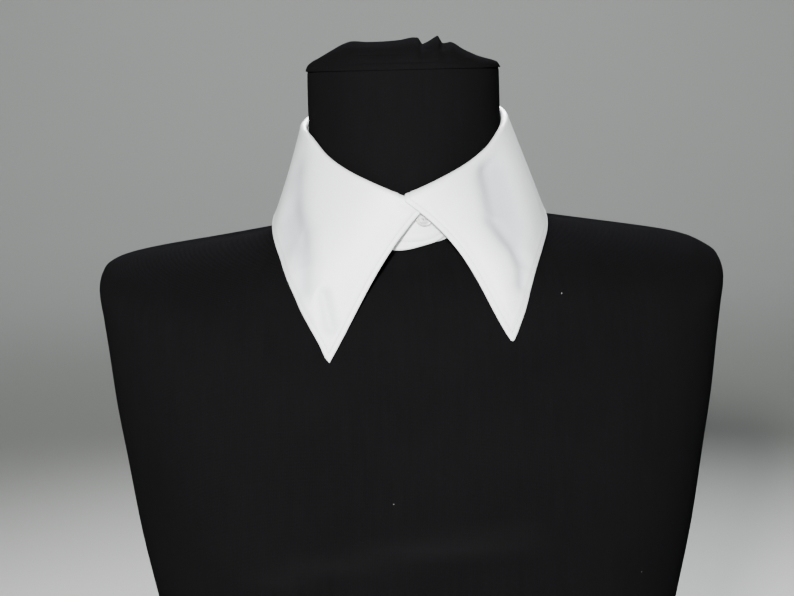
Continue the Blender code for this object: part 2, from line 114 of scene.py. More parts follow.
CAP_SHARES = (0.75, 0.45, 0.15)

# Soft folds of the form's cover: a chain of places across the front or the back, with their width and height
COVER_FOLD_COLUMNS = ("x", "z", "height")
CHEST_FOLD = (
    (-108.0, 198.5, 0.0),
    (-94.7, 201.9, 0.5),
    (-80.1, 205.6, 0.9),
    (-62.8, 209.3, 1.1),
    (-39.7, 214.1, 0.8),
    (-16.6, 218.2, 0.9),
    (6.4, 221.2, 1.2),
    (32.3, 223.5, 1.3),
    (58.1, 224.6, 0.8),
    (80.0, 224.0, 0.0),
)
LOW_FOLD = (
    (-90.0, 118.0, 0.0),
    (-50.0, 126.0, 0.7),
    (-8.0, 129.0, 1.0),
    (40.0, 126.0, 0.6),
    (86.0, 119.0, 0.0),
)
BACK_FOLD = (
    (-95.0, 204.0, 0.0),
    (-58.0, 214.0, 0.8),
    (-5.0, 219.0, 1.2),
    (49.0, 212.0, 0.9),
    (92.0, 203.0, 0.0),
)
FOLD_HALF_WIDTH = 6.5
# The fold height at which the painted sheen on its top is full
FOLD_FULL_HEIGHT = 1.2

# The cover cloth tucked over the neck's flat top and down over its rim: its outline from the front, and the way it
# rolls over
TUCK_HALF_WIDTH = 59.0
TUCK_HALF_DEPTH = 60.5
TUCK_END_SHARE = 0.985
TUCK_WALL = 1.0
TUCK_SKIRT = 3.2
TUCK_SLANT = 0.03
TUCK_NAMES = ("x", "height")
TUCK_OUTLINE = (
    (-59.0, -2.4),
    (-57.9, -0.2),
    (-55.3, 2.2),
    (-50.4, 4.8),
    (-42.3, 9.2),
    (-34.9, 13.0),
    (-31.8, 14.0),
    (-20.8, 13.7),
    (-10.5, 13.8),
    (-1.3, 14.4),
    (8.6, 15.6),
    (10.0, 15.3),
    (11.0, 13.6),
    (11.9, 12.0),
    (13.9, 12.3),
    (16.9, 13.8),
    (20.6, 16.0),
    (21.9, 16.3),
    (23.0, 14.3),
    (24.2, 12.3),
    (26.5, 12.1),
    (29.7, 12.5),
    (31.7, 11.6),
    (36.3, 8.5),
    (41.2, 6.0),
    (46.0, 3.9),
    (50.9, 2.4),
    (55.2, 1.1),
    (57.9, -0.5),
    (59.0, -2.4),
)
ROLL_OVER_NAMES = ("way", "depth", "height")
ROLL_OVER = (
    (0.00, -1.000, 0.00),
    (0.06, -1.000, 0.10),
    (0.13, -0.985, 0.23),
    (0.21, -0.950, 0.41),
    (0.29, -0.885, 0.61),
    (0.38, -0.760, 0.82),
    (0.46, -0.560, 0.95),
    (0.54, -0.250, 1.00),
    (0.62, 0.100, 0.99),
    (0.71, 0.460, 0.93),
    (0.79, 0.720, 0.80),
    (0.86, 0.870, 0.59),
    (0.92, 0.955, 0.34),
    (0.97, 0.998, 0.12),
    (1.00, 1.000, 0.00),
)
# Creases where the cloth laps over itself: side of the tuck, height, where it starts and ends, depth and half width
CREASE_COLUMNS = ("side", "height", "start_x", "end_x", "depth", "half_width")
TUCK_CREASES = (
    (-1.0, 1.2, -39.0, 41.0, 0.5, 0.8),
    (-1.0, 6.2, -31.0, -1.0, 0.8, 0.8),
    (-1.0, 8.6, 6.0, 27.0, 0.5, 0.9),
    (1.0, 1.3, -42.0, 37.0, 0.5, 0.8),
    (1.0, 5.8, -6.0, 29.0, 0.8, 0.8),
)
CREASE_FADE = 6.0

# The band's two layers at the front, as distances of their middles from the neck
NECK_CLEARANCE = 0.8
LAYER_GAP = 0.4
SEAM_GAP = 0.3
OVERLAP_STARTS_TO_EASE = 14.0
OVERLAP_IS_GONE = 60.0
BAND_END_DROP = 0.03
BAND_END_ROUND = 8.5
BAND_END_FLAT = 0.3
BAND_END_HEIGHT = 0.5
BAND_COLUMNS = ("turn", "low_z")
BAND_SECTIONS = (
    (-22.0, 395.0),
    (-15.0, 393.2),
    (-8.0, 391.4),
    (0.0, 389.5),
    (7.0, 389.2),
    (15.0, 391.5),
    (30.0, 397.5),
    (45.0, 404.5),
    (60.0, 412.0),
    (75.0, 418.0),
    (90.0, 422.5),
    (115.0, 428.0),
    (145.0, 433.5),
    (180.0, 436.0),
    (215.0, 433.5),
    (245.0, 428.0),
    (270.0, 422.5),
    (285.0, 418.0),
    (300.0, 412.0),
    (315.0, 404.5),
    (330.0, 397.5),
    (344.0, 393.2),
    (356.0, 391.8),
    (372.0, 392.5),
)

# The leaf, which folds over the band's upper edge and falls to the outer edge
STEM_HEIGHT = 1.5
ROLL_RADIUS = 1.6
LEFT_ROLL_RADIUS = 2.4
RIGHT_ROLL_RADIUS = 4.0
LEFT_ROLL_EASES = (5.0, 45.0)
RIGHT_ROLL_GROWS = (312.0, 342.0)
EARLY_BOW = 0.8
BELLY_PEAK = 6.75
LEAF_COLUMNS = ("turn", "fold_z", "hem_x", "hem_y", "hem_z", "lean", "bow", "belly")
LEAF_SECTIONS = (
    (-9.0, 416.4, -48.6, -88.0, 328.0, 0.9, 4.0, 0.0),
    (-4.0, 418.2, -50.8, -87.0, 330.5, 0.9, 3.5, 0.3),
    (5.0, 422.8, -54.0, -85.0, 337.5, 0.9, 2.5, 1.2),
    (18.0, 429.0, -59.0, -81.8, 346.5, 0.9, 1.0, 2.8),
    (35.0, 437.0, -65.5, -76.0, 358.5, 0.9, 0.0, 4.0),
    (50.0, 445.0, -72.0, -65.5, 372.0, 0.85, 0.0, 3.5),
    (65.0, 454.5, -78.0, -49.0, 385.0, 0.8, 0.0, 2.0),
    (80.0, 459.5, -82.0, -31.0, 395.5, 0.8, 0.0, 1.0),
    (95.0, 463.0, -83.5, -10.0, 403.0, 0.8, 0.0, 0.0),
    (115.0, 467.5, -80.0, 18.0, 405.0, 0.8, 0.0, 0.0),
    (135.0, 471.0, -67.0, 44.0, 408.0, 0.8, 0.0, 0.0),
    (155.0, 473.5, -42.0, 66.0, 414.0, 0.8, 0.0, 0.0),
    (180.0, 474.5, -2.0, 80.0, 420.5, 0.8, 0.0, 0.0),
    (205.0, 474.0, 38.0, 66.0, 414.0, 0.8, 0.0, 0.0),
    (225.0, 473.0, 63.0, 44.0, 408.0, 0.8, 0.0, 0.0),
    (245.0, 471.0, 77.0, 18.0, 405.0, 0.9, 0.0, 0.0),
    (265.0, 466.5, 83.0, -10.0, 403.0, 1.0, 0.0, 0.0),
    (280.0, 461.8, 81.8, -30.0, 395.5, 1.05, 0.0, 0.7),
    (293.0, 456.0, 77.5, -47.0, 386.5, 1.0, 0.0, 1.5),
    (307.0, 447.5, 72.5, -61.5, 376.0, 1.0, 0.5, 2.5),
    (322.0, 439.8, 68.0, -72.5, 363.5, 0.95, 1.5, 4.0),
    (338.0, 432.5, 64.5, -78.4, 353.3, 0.9, 3.5, 4.0),
    (350.0, 426.8, 61.3, -82.0, 345.8, 0.9, 6.0, 2.5),
    (356.6, 423.9, 58.9, -84.1, 340.4, 0.9, 7.4, 0.9),
    (359.0, 422.8, 57.3, -85.2, 337.7, 0.9, 7.8, 0.4),
    (361.0, 421.9, 55.8, -85.6, 338.0, 0.9, 8.0, 0.0),
)
TROUGH_COLUMNS = ("start_turn", "start_share", "end_turn", "end_share", "half_width", "depth")
LEAF_TROUGHS = (
    (66.0, 0.63, 49.0, 0.60, 9.0, 2.4),
    (49.0, 0.60, 41.0, 0.71, 7.5, 2.7),
    (41.0, 0.71, 35.0, 0.84, 6.5, 2.0),
    (18.0, 0.76, 4.0, 0.86, 4.5, 1.7),
    (316.0, 0.08, 325.0, 0.34, 7.0, 2.4),
    (328.0, 0.38, 322.0, 0.62, 7.0, 2.8),
    (322.0, 0.62, 321.5, 0.77, 6.0, 2.8),
    (321.5, 0.77, 329.0, 0.86, 5.0, 2.2),
    (128.0, 0.30, 140.0, 0.80, 9.0, 2.2),
    (228.0, 0.35, 214.0, 0.75, 9.0, 2.2),
)
# Wider, shallow hollows on the outer side of the creases, with the same columns
LEAF_HOLLOWS = (
    (308.0, 0.18, 316.0, 0.55, 11.0, 2.6),
    (72.0, 0.35, 56.0, 0.74, 12.0, 2.2),
)

# How finely the leaf and the band are made, and how their edges are finished
EDGE_STEPS = (0.0, 0.12, 0.35, 0.7, 1.1, 1.6)
STEM_ROWS = 3
ROLL_ROWS = 12
FALL_ROWS = 66
LEAF_PLACES = 330
BAND_PLACES = 420
BAND_ROWS = 26
ROWS_BELOW_FOLD = 6
SURE_ROW = STEM_ROWS + ROLL_ROWS + 10
TUCK_PLACES = 240
TUCK_ROWS = 110
BAND_END_STITCH_ROWS = 14
EDGE_ROUND = 0.9
ALLOWANCE_ENDS = (5.4, 6.6)
ALLOWANCE_RISE = 0.14
GROOVE_DEPTH = 0.22
GROOVE_HALF_WIDTH = 0.55
WEAR_REACH = 1.4
# Painted shade: the cloth's colour is darkened in deep creases and along the stitched groove, standing in for
# shadow
PAINTED_CREASE_SHADE_SHARE = 0.9
CREASE_FULL_DEPTH = 3.2
PAINTED_GROOVE_SHADE = 0.3
PAINTED_GROOVE_SHADE_HALF_WIDTH = 0.7

# Stitches and the buttonhole
STITCH_GAP_SHARE = 0.16
STITCH_RINGS = 5
STITCH_SIDES = 6
STITCH_SINK = 0.35
THREAD_POINT = 0.25
HOLE_TURN_START = -10.0
HOLE_LENGTH = 13.0
HOLE_BEAD_LENGTH = 1.25
HOLE_BEAD_PITCH = 0.36
HOLE_SLIT_HALF = 0.25
HOLE_END_BEADS = 9
HOLE_END_REACH = 0.5

# The button, as in the solids
BUTTON_TURN = -9.2
BUTTON_Z = 408.4
HOLE_SPREAD = 1.7
BUTTON_FACE = 1.4
THREAD_STRANDS = 3
THREAD_ARCH = 0.55
THREAD_DIP = 0.9

# The camera at the photo's viewing angle, and the studio
IMAGE_WIDTH = 794
FOCAL_PIXELS = 1774.2
CAMERA_TARGET = (-9.0, -1.5, 353.0)
CAMERA_DISTANCE = 1100.0
CAMERA_ELEVATION = 7.5
CAMERA_ROLL = 1.4
SENSOR_WIDTH = 36.0

# The light, in metres and watts: a lamp a little above the camera, soft light from above and behind, and four lamps
# that shine only on the paper round the form. The spread is the angle, in degrees, that the light fans out over
AIR_TINT = (0.93, 0.96, 1.0, 1.0)
AIR_STRENGTH = 0.05
WARM = (1.0, 0.99, 0.97)
COOL = (0.95, 0.97, 1.0)
COLLAR_MIDDLE = (-0.01, -0.04, 0.38)
LIGHT_COLUMNS = ("name", "where", "target", "size", "spread", "power", "tint")
LIGHTS = (
    ("key", (-0.10, -1.08, 0.70), COLLAR_MIDDLE, 0.09, 180.0, 37.0, WARM),
    ("top", (0.0, 0.6, 2.6), (0.0, 0.1, 0.3), 1.8, 180.0, 6.0, COOL),
    ("back", (0.2, 1.7, 1.3), COLLAR_MIDDLE, 0.9, 60.0, 22.0, COOL),
    ("paper behind", (0.0, 2.9, 2.6), (0.0, 5.2, 0.6), 2.2, 180.0, 50.0, COOL),
    ("paper left", (-2.9, 0.0, 2.6), (-5.2, 0.0, 0.6), 2.2, 180.0, 50.0, COOL),
    ("paper right", (2.9, 0.0, 2.6), (5.2, 0.0, 0.6), 2.2, 180.0, 50.0, COOL),
    ("paper in front", (0.0, -2.9, 2.6), (0.0, -5.2, 0.6), 2.2, 180.0, 50.0, COOL),
)
COVE_SEGMENTS = 96
COVE_ROWS = 60
COVE_NAMES = ("radius", "height")
COVE_PROFILE = (
    (0.6, 0.0),
    (1.6, 0.0),
    (3.0, 0.0),
    (3.7, 0.06),
    (4.3, 0.28),
    (4.8, 0.72),
    (5.1, 1.3),
    (5.2, 2.2),
    (5.2, 4.5),
)


def smooth_step(start, end, value):
    """0 before start, 1 after end, and an even S between them."""
    share = np.clip((np.asarray(value, float) - start) / (end - start), 0.0, 1.0)
    return share * share * (3.0 - 2.0 * share)


def curve_through(places, values, wanted, steady=False):
    """A smooth curve through a table's values, read at the wanted places.

    The slope at each row is the weighted mean of the slopes on its two sides, and the rows are joined by cubics. A
    steady curve never overshoots: its slope is 0 where the values turn, and at most 3 times the lesser neighbour.
    """
    places = np.asarray(places, float)
    values = np.asarray(values, float)
    steps = np.diff(places)
    slopes = np.diff(values) / steps
    inner = (slopes[:-1] * steps[1:] + slopes[1:] * steps[:-1]) / (steps[:-1] + steps[1:])
    if steady:
        limit = 3.0 * np.minimum(np.abs(slopes[:-1]), np.abs(slopes[1:]))
        inner = np.where(slopes[:-1] * slopes[1:] > 0.0, np.clip(inner, -limit, limit), 0.0)
    tangents = np.concatenate([slopes[:1], inner, slopes[-1:]])
    row = np.clip(np.searchsorted(places, wanted, side="right") - 1, 0, len(steps) - 1)
    width = steps[row]
    share = (wanted - places[row]) / width
    low = values[row] * (1.0 + 2.0 * share) * (1.0 - share) ** 2
    high = values[row + 1] * share * share * (3.0 - 2.0 * share)
    low_slope = tangents[row] * width * share * (1.0 - share) ** 2
    high_slope = tangents[row + 1] * width * share * share * (share - 1.0)
    return low + high + low_slope + high_slope


def column(table, names, name):
    """One named column of a table."""
    return np.array([row[names.index(name)] for row in table], float)


def rounded(value, power):
    """A sine or cosine bent towards a rounded rectangle: its size raised to two over the power."""
    return np.sign(value) * np.abs(value) ** (2.0 / power)


def lengths_along(points):
    """Distance travelled to each point of rows of points, counted along their second axis from the end."""
    steps = np.linalg.norm(np.diff(points, axis=-2), axis=-1)
    start = np.zeros(steps.shape[:-1] + (1,))
    return np.concatenate([start, np.cumsum(steps, axis=-1)], axis=-1)


def grid_normals(grid):
    """Unit normals of a surface given as rows and columns of points: the cross product of its two directions."""
    down = np.gradient(grid, axis=0)
    along = np.gradient(grid, axis=1)
    normals = np.cross(down, along)
    return normals / np.maximum(np.linalg.norm(normals, axis=2, keepdims=True), 1e-12)


def distance_to_segment(points, start, end):
    """Distance of each point from its nearest place on a straight segment."""
    line = end - start
    share = np.clip(((points - start) @ line) / (line @ line), 0.0, 1.0)
    nearest = start + share[..., None] * line
    return np.linalg.norm(points - nearest, axis=-1)


def distance_to_line(grid, line):
    """Distance of each point of a grid from a chain of points: the least of those from its parts."""
    starts = line[:-1]
    parts = np.diff(line, axis=0)
    squares = np.maximum((parts * parts).sum(axis=1), 1e-12)
    result = np.empty(grid.shape[:2])
    for number, row in enumerate(grid):
        away = row[:, None, :] - starts[None, :, :]
        share = np.clip((away * parts).sum(axis=2) / squares, 0.0, 1.0)
        gap = away - share[..., None] * parts
        result[number] = np.sqrt((gap * gap).sum(axis=2).min(axis=1))
    return result


def shell_mesh(outer, inner):
    """Points, faces and grid places of a closed shell: two grids that share their border's points."""
    rows, columns = outer.shape[:2]
    count = rows * columns
    front = np.arange(count).reshape(rows, columns)
    back = front.copy()
    back[1:-1, 1:-1] = count + np.arange((rows - 2) * (columns - 2)).reshape(rows - 2, columns - 2)
    front_faces = np.stack([front[:-1, :-1], front[:-1, 1:], front[1:, 1:], front[1:, :-1]], axis=-1)
    back_faces = np.stack([back[:-1, :-1], back[1:, :-1], back[1:, 1:], back[:-1, 1:]], axis=-1)
    faces = np.concatenate([front_faces.reshape(-1, 4), back_faces.reshape(-1, 4)])
    points = np.concatenate([outer.reshape(-1, 3), inner[1:-1, 1:-1].reshape(-1, 3)])
    place = np.concatenate([front.reshape(-1), front[1:-1, 1:-1].reshape(-1)])
    return points, faces, place


def faces_volume(points, faces):
    """The signed volume inside closed faces of three or four points: positive when they point out."""
    corners = points[faces]
    first = corners[:, 0]
    total = np.einsum("ij,ij->", first, np.cross(corners[:, 1], corners[:, 2]))
    total += np.einsum("ij,ij->", first, np.cross(corners[:, 2], corners[:, 3]))
    return total / 6.0


def add_piece(name, points, faces, material, uv=None, corner_uv=None, marks=None):
    """An object at the origin from millimetre points and faces of four, or of three with the last point repeated.

    The cloth's place is given for each point or for each face corner. Marks are named values, one for each point.
    """
    points = np.asarray(points, float).reshape(-1, 3)
    faces = np.asarray(faces, int)
    if faces_volume(points, faces) < 0.0:
        faces = faces[:, ::-1]
        if corner_uv is not None:
            corner_uv = corner_uv[:, ::-1]
    mesh = bpy.data.meshes.new(name)
    shifted = (points + (0.0, FORM_SHIFT_Y, 0.0)) * MM
    trimmed = [list(dict.fromkeys(face)) for face in faces.tolist()]
    mesh.from_pydata(shifted.tolist(), [], trimmed)
    mesh.update()
    mesh.shade_smooth()
    if uv is not None or corner_uv is not None:
        layer = mesh.uv_layers.new(name=CLOTH_UV)
        if corner_uv is None:
            used = np.empty(len(mesh.loops), int)
            mesh.loops.foreach_get("vertex_index", used)
            flat = uv[used]
        else:
            kept = np.ones(faces.shape, bool)
            kept[:, 1:] = faces[:, 1:] != faces[:, :-1]
            flat = corner_uv[kept]
        layer.data.foreach_set("uv", np.ascontiguousarray(flat, np.float32).ravel())
    for mark, values in (marks or {}).items():
        attribute = mesh.attributes.new(mark, "FLOAT", "POINT")
        attribute.data.foreach_set("value", np.ascontiguousarray(values, np.float32))
    mesh.materials.append(material)
    obj = bpy.data.objects.new(name, mesh)
    bpy.context.scene.collection.objects.link(obj)
    return obj


def add_tubes(name, centres, sides, ups, radii, material):
    """Short closed threads: rings round each row of centres, with a point at each end."""
    count, rings = centres.shape[:2]
    angle = np.arange(STITCH_SIDES) / STITCH_SIDES * 2.0 * np.pi
    around = np.cos(angle)[:, None] * sides[:, :, None, :] + np.sin(angle)[:, None] * ups[:, :, None, :]
    walls = centres[:, :, None, :] + around * radii[:, :, None, None]
    starts = centres[:, 0] + (centres[:, 0] - centres[:, 1]) * THREAD_POINT
    ends = centres[:, -1] + (centres[:, -1] - centres[:, -2]) * THREAD_POINT
    points = np.concatenate([walls.reshape(count, -1, 3), starts[:, None], ends[:, None]], axis=1)
    index = np.arange(rings * STITCH_SIDES).reshape(rings, STITCH_SIDES)
    ahead = np.roll(index, -1, axis=1)
    quads = np.stack([index[:-1], ahead[:-1], ahead[1:], index[1:]], axis=-1).reshape(-1, 4)
    first = rings * STITCH_SIDES
    last = first + 1
    low = np.stack([ahead[0], index[0], np.full(STITCH_SIDES, first), np.full(STITCH_SIDES, first)], axis=-1)
    high = np.stack([index[-1], ahead[-1], np.full(STITCH_SIDES, last), np.full(STITCH_SIDES, last)], axis=-1)
    one = np.concatenate([quads, low, high])
    faces = (one[None] + (np.arange(count) * points.shape[1])[:, None, None]).reshape(-1, 4)
    return add_piece(name, points, faces, material)


class Term:
    """One output in a finish's nodes. Sums and products of terms and numbers add Math nodes."""

    def __init__(self, finish, socket):
        self.finish = finish
        self.socket = socket

    def math(self, operation, *others):
        return self.finish.math(operation, self, *others)

    def __add__(self, other):
        return self.finish.math("ADD", self, other)

    def __radd__(self, other):
        return self.finish.math("ADD", other, self)

    def __sub__(self, other):
        return self.finish.math("SUBTRACT", self, other)

    def __rsub__(self, other):
        return self.finish.math("SUBTRACT", other, self)

    def __mul__(self, other):
        return self.finish.math("MULTIPLY", self, other)

    def __rmul__(self, other):
        return self.finish.math("MULTIPLY", other, self)

    def __truediv__(self, other):
        return self.finish.math("DIVIDE", self, other)

    def __rtruediv__(self, other):
        return self.finish.math("DIVIDE", other, self)

    def __pow__(self, other):
        return self.finish.math("POWER", self, other)


class Finish:
    """A material and its nodes."""

    def __init__(self, name):
        self.material = bpy.data.materials.new(name)
        self.material.use_nodes = True
        self.tree = self.material.node_tree
        self.shader = self.tree.nodes["Principled BSDF"]

    def node(self, kind, settings=None, inputs=None, output=0):
        """A node of a type: its settings are set first, then its sockets get values or links."""
        node = self.tree.nodes.new(kind)
        for name, value in (settings or {}).items():
            if name == "stops":
                self.set_stops(node.color_ramp, value)
            else:
                setattr(node, name, value)
        for name, value in (inputs or {}).items():
            self.feed(node.inputs[name], value)
        return Term(self, node.outputs[output])

    def set_stops(self, ramp, stops):
        """Places and greys of a ramp."""
        while len(ramp.elements) < len(stops):
            ramp.elements.new(1.0)
        for element, (place, grey) in zip(ramp.elements, stops):
            element.position = place
            element.color = (grey, grey, grey, 1.0)

    def feed(self, socket, value):
        """A link from a term, or a plain value."""
        if isinstance(value, Term):
            self.tree.links.new(value.socket, socket)
        else:
            socket.default_value = value

    def math(self, operation, *values):
        return self.node("ShaderNodeMath", {"operation": operation}, dict(enumerate(values)))

    def mix(self, share, first, second):
        """A colour between two colours."""
        return self.node("ShaderNodeMix", {"data_type": "RGBA"}, {0: share, 6: first, 7: second}, output=2)

    def noise(self, place, scale, detail=2.0, roughness=0.5):
        """Soft noise from 0 to 1 at a place."""
        inputs = {"Vector": place, "Scale": scale, "Detail": detail, "Roughness": roughness}
        return self.node("ShaderNodeTexNoise", {}, inputs)

    def stretched(self, place, scale):
        """A place with each of its three parts scaled."""
        return self.node("ShaderNodeMapping", {}, {"Vector": place, "Scale": scale})

    def parts(self, place):
        """The first two parts of a place."""
        split = self.tree.nodes.new("ShaderNodeSeparateXYZ")
        self.feed(split.inputs[0], place)
        return Term(self, split.outputs[0]), Term(self, split.outputs[1])

    def uv_place(self):
        return self.node("ShaderNodeUVMap", {"uv_map": CLOTH_UV})

    def object_place(self):
        return self.node("ShaderNodeTexCoord", {}, {}, output=3)

    def attribute(self, name):
        return self.node("ShaderNodeAttribute", {"attribute_name": name}, {}, output=2)

    def bump(self, height_mm, strength=1.0):
        """A normal from a height in millimetres."""
        return self.node("ShaderNodeBump", {}, {"Strength": strength, "Distance": MM, "Height": height_mm})

    def apply(self, values):
        """The shader's own sockets get values or links."""
        for name, value in values.items():
            self.feed(self.shader.inputs[name], value)
        return self.material


def colour(values, share=1.0):
    """Four numbers for a colour socket, from three and a brightness."""
    return (values[0] * share, values[1] * share, values[2] * share, 1.0)


def slot_colour(slot):
    """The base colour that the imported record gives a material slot."""
    for material in frame["record"]["materials"]:
        if material["slot"] == slot:
            return tuple(material["base_color"])
    raise KeyError(slot)


def cotton_finish(sizes, colours):
    """White poplin: a plain weave of fine yarns, some thicker, pressed but not quite flat."""
    finish = Finish("white cotton poplin")
    place = finish.uv_place()
    across, along = finish.parts(place)
    warp = (across * (math.pi / sizes.yarn)).math("SINE")
    weft = (along * (math.pi / (sizes.yarn * 1.15))).math("SINE")
    weave = warp * weft
    upright_slubs = finish.noise(finish.stretched(place, (2200.0, 160.0, 1.0)), 1.0, 2.0)
    level_slubs = finish.noise(finish.stretched(place, (160.0, 2200.0, 1.0)), 1.0, 2.0)
    slubs = (upright_slubs + level_slubs) * 0.5
    clouds = finish.noise(place, 45.0, 3.0)
    rumple = finish.noise(place, 90.0, 3.0, 0.55)
    wear = finish.attribute(EDGE_WEAR)
    crease = finish.attribute(PAINTED_CREASE_SHADE)
    # The crease mark is painted shade, a darker colour in deep creases and along the stitched groove; slubs,
    # clouds, wear and weave are the cloth's own tone
    shade = (slubs - 0.5) * 0.22 + (clouds - 0.5) * 0.05 + wear * 0.06 + (1.0 - weave) * 0.02 + crease
    shade = shade.math("MAXIMUM", 0.0).math("MINIMUM", 1.0)
    base = finish.mix(shade, colour(colours.cotton), colour(colours.cotton_tone_and_painted_shade))
    height = weave * 0.018 + (slubs - 0.5) * 0.05 + (rumple - 0.5) * 0.22
    rough = 0.46 + (slubs - 0.5) * 0.2
    return finish.apply({
        "Base Color": base,
        "Roughness": rough,
        "Sheen Weight": 0.02,
        "Specular IOR Level": 1.0,
        "Normal": finish.bump(height),
    })


def thread_finish(colours):
    """White sewing thread: slightly glossier than the cloth, with fine uneven fibres."""
    finish = Finish("white sewing thread")
    place = finish.object_place()
    fibres = finish.noise(place, 4200.0, 2.0)
    tone = finish.noise(place, 140.0, 2.0)
    base = finish.mix(tone * 0.5 + fibres * 0.3, colour(colours.thread), colour(colours.thread, 0.86))
    return finish.apply({
        "Base Color": base,
        "Roughness": 0.55 + (fibres - 0.5) * 0.3,
        "Sheen Weight": 0.2,
        "Normal": finish.bump(fibres * 0.03),
    })


def pearl_finish(colours):
    """The button's pearly plastic: slow swirls of a cooler tone under a clear, polished face."""
    finish = Finish("pearl white button")
    place = finish.object_place()
    drift = finish.noise(place, 160.0, 2.0)
    wide = finish.noise(finish.stretched(place, (260.0, 260.0, 520.0)), 1.0, 3.0)
    swirl = ((wide * 14.0 + drift * 5.0).math("SINE")) * 0.5 + 0.5
    fine = finish.noise(place, 2400.0, 2.0)
    base = finish.mix(swirl * 0.7 + 0.3, colour(colours.button), colour(colours.button_shade))
    return finish.apply({
        "Base Color": base,
        "Roughness": 0.26 + fine * 0.1,
        "Coat Weight": 0.35,
        "Coat Roughness": 0.12,
        "Specular IOR Level": 0.6,
        "Normal": finish.bump(fine * 0.01),
    })


def jersey_finish(sizes, colours, name="black jersey"):
    """Black knit: upright ribs of small V-shaped loops, uneven in tone, with a few specks of lint and a painted
    sheen, a lighter colour, on the tops of the cover's folds.
    """
    finish = Finish(name)
    place = finish.uv_place()
    across, along = finish.parts(place)
    wale = (across / sizes.wale).math("FRACT")
    from_middle = (wale - 0.5).math("ABSOLUTE") * 2.0
    loops = ((along / sizes.course + from_middle * 0.55) * (2.0 * math.pi)).math("SINE") * 0.5 + 0.5
    knit = loops * (1.0 - from_middle ** 4.0)
    nap = finish.noise(place, 700.0, 3.0, 0.6)
    patches = finish.noise(place, 14.0, 3.0)
    streaks = finish.noise(finish.stretched(place, (420.0, 22.0, 1.0)), 1.0, 2.0)
    rubbed = finish.attribute(PAINTED_FOLD_SHEEN)
    # The folds' painted sheen makes the cover lighter on their tops, standing in for light caught there; the rest
    # is the knit's own uneven tone
    tone = (knit * 0.35 + nap * 0.3 + patches * 0.35 + streaks * 0.25) * 0.8 + rubbed * 0.3
    cloth = finish.mix(tone, colour(colours.jersey, 0.08), colour(colours.jersey, 0.36))
    cells = finish.node("ShaderNodeTexVoronoi", {"feature": "F1"}, {"Vector": place, "Scale": 62.0})
    rare = finish.noise(place, 31.0, 0.0)
    lint = cells.math("LESS_THAN", 0.022) * rare.math("GREATER_THAN", 0.6)
    base = finish.mix(lint * 0.5, cloth, colour(colours.lint))
    height = knit * 0.10 + (nap - 0.5) * 0.09
    return finish.apply({
        "Base Color": base,
        "Roughness": 0.85 + (nap - 0.5) * 0.2,
        "Sheen Weight": 0.006,
        "Sheen Roughness": 0.6,
        "Sheen Tint": colour((0.7, 0.7, 0.76)),
        "Specular IOR Level": 0.0,
        "Normal": finish.bump(height),
    })


def studio_finish(colours):
    """The floor's matt paper: nearly even, with the faintest clouds."""
    finish = Finish("pale studio paper")
    place = finish.object_place()
    clouds = finish.noise(place, 1.3, 3.0)
    base = finish.mix(clouds * 0.5, colour(colours.floor), colour(colours.floor, 0.95))
    return finish.apply({"Base Color": base, "Roughness": 0.9, "Specular IOR Level": 0.15})


def neck_point(turn, offset, z):
    """A point at a turn round the neck, an offset out from its cloth and a height, on an upright oval."""
    angle = np.radians(turn)
    x = NECK_SHIFT_X - (NECK_HALF_WIDTH + offset) * np.sin(angle)
    y = -(NECK_HALF_DEPTH + offset) * np.cos(angle)
    return np.stack(np.broadcast_arrays(x, y, z), axis=-1)


def under_offset(wall):
    """Distance from the neck to the middle of the lower layer."""
    return NECK_CLEARANCE + wall / 2.0


def layer_offset(turn, wall):
    """How far the band's middle lies from the neck: a layer further where its left end lies on top."""
    share = 1.0 - smooth_step(OVERLAP_STARTS_TO_EASE, OVERLAP_IS_GONE, turn)
    return under_offset(wall) + (wall + LAYER_GAP) * share


def roll_radius(turn):
    """The leaf's fold radius: wide at the front ends, widest where the right end passes over the left one."""
    left = 1.0 - smooth_step(*LEFT_ROLL_EASES, turn)
    right = smooth_step(*RIGHT_ROLL_GROWS, turn)
    return ROLL_RADIUS + (LEFT_ROLL_RADIUS - ROLL_RADIUS) * left + (RIGHT_ROLL_RADIUS - ROLL_RADIUS) * right


def leaf_value(name, turn):
    """A column of the leaf's table, read at any turn."""
    turns = column(LEAF_SECTIONS, LEAF_COLUMNS, "turn")
    return curve_through(turns, column(LEAF_SECTIONS, LEAF_COLUMNS, name), turn)


def roll_centre_z(turn, wall):
    """Height of the centre of the leaf's fold."""
    return leaf_value("fold_z", turn) - wall / 2.0 - roll_radius(turn)


def outward_at(turn):
    """The level direction away from the neck at a turn."""
    angle = np.radians(turn)
    return np.stack([-np.sin(angle), -np.cos(angle), np.zeros_like(angle)], axis=-1)


def hem_point(turn):
    """The point of the leaf's outer edge at a turn."""
    return np.stack([leaf_value(name, turn) for name in ("hem_x", "hem_y", "hem_z")], axis=-1)


def roll_point(turn, bend, wall):
    """A point on the leaf's fold: a circle's arc over the band, bend radians round from its stem."""
    radius = roll_radius(turn)
    out = layer_offset(turn, wall) + radius * (1.0 - np.cos(bend))
    return neck_point(turn, out, roll_centre_z(turn, wall) + radius * np.sin(bend))


def roll_end(turn, wall):
    """The bend at which the fold meets the fall: short of half a turn by the fall's lean."""
    line = hem_point(turn) - roll_point(turn, np.pi, wall)
    reach = (line * outward_at(turn)).sum(axis=-1)
    drop = np.sqrt((line * line).sum(axis=-1) - reach * reach)
    return np.pi - np.arctan2(reach * leaf_value("lean", turn), drop)


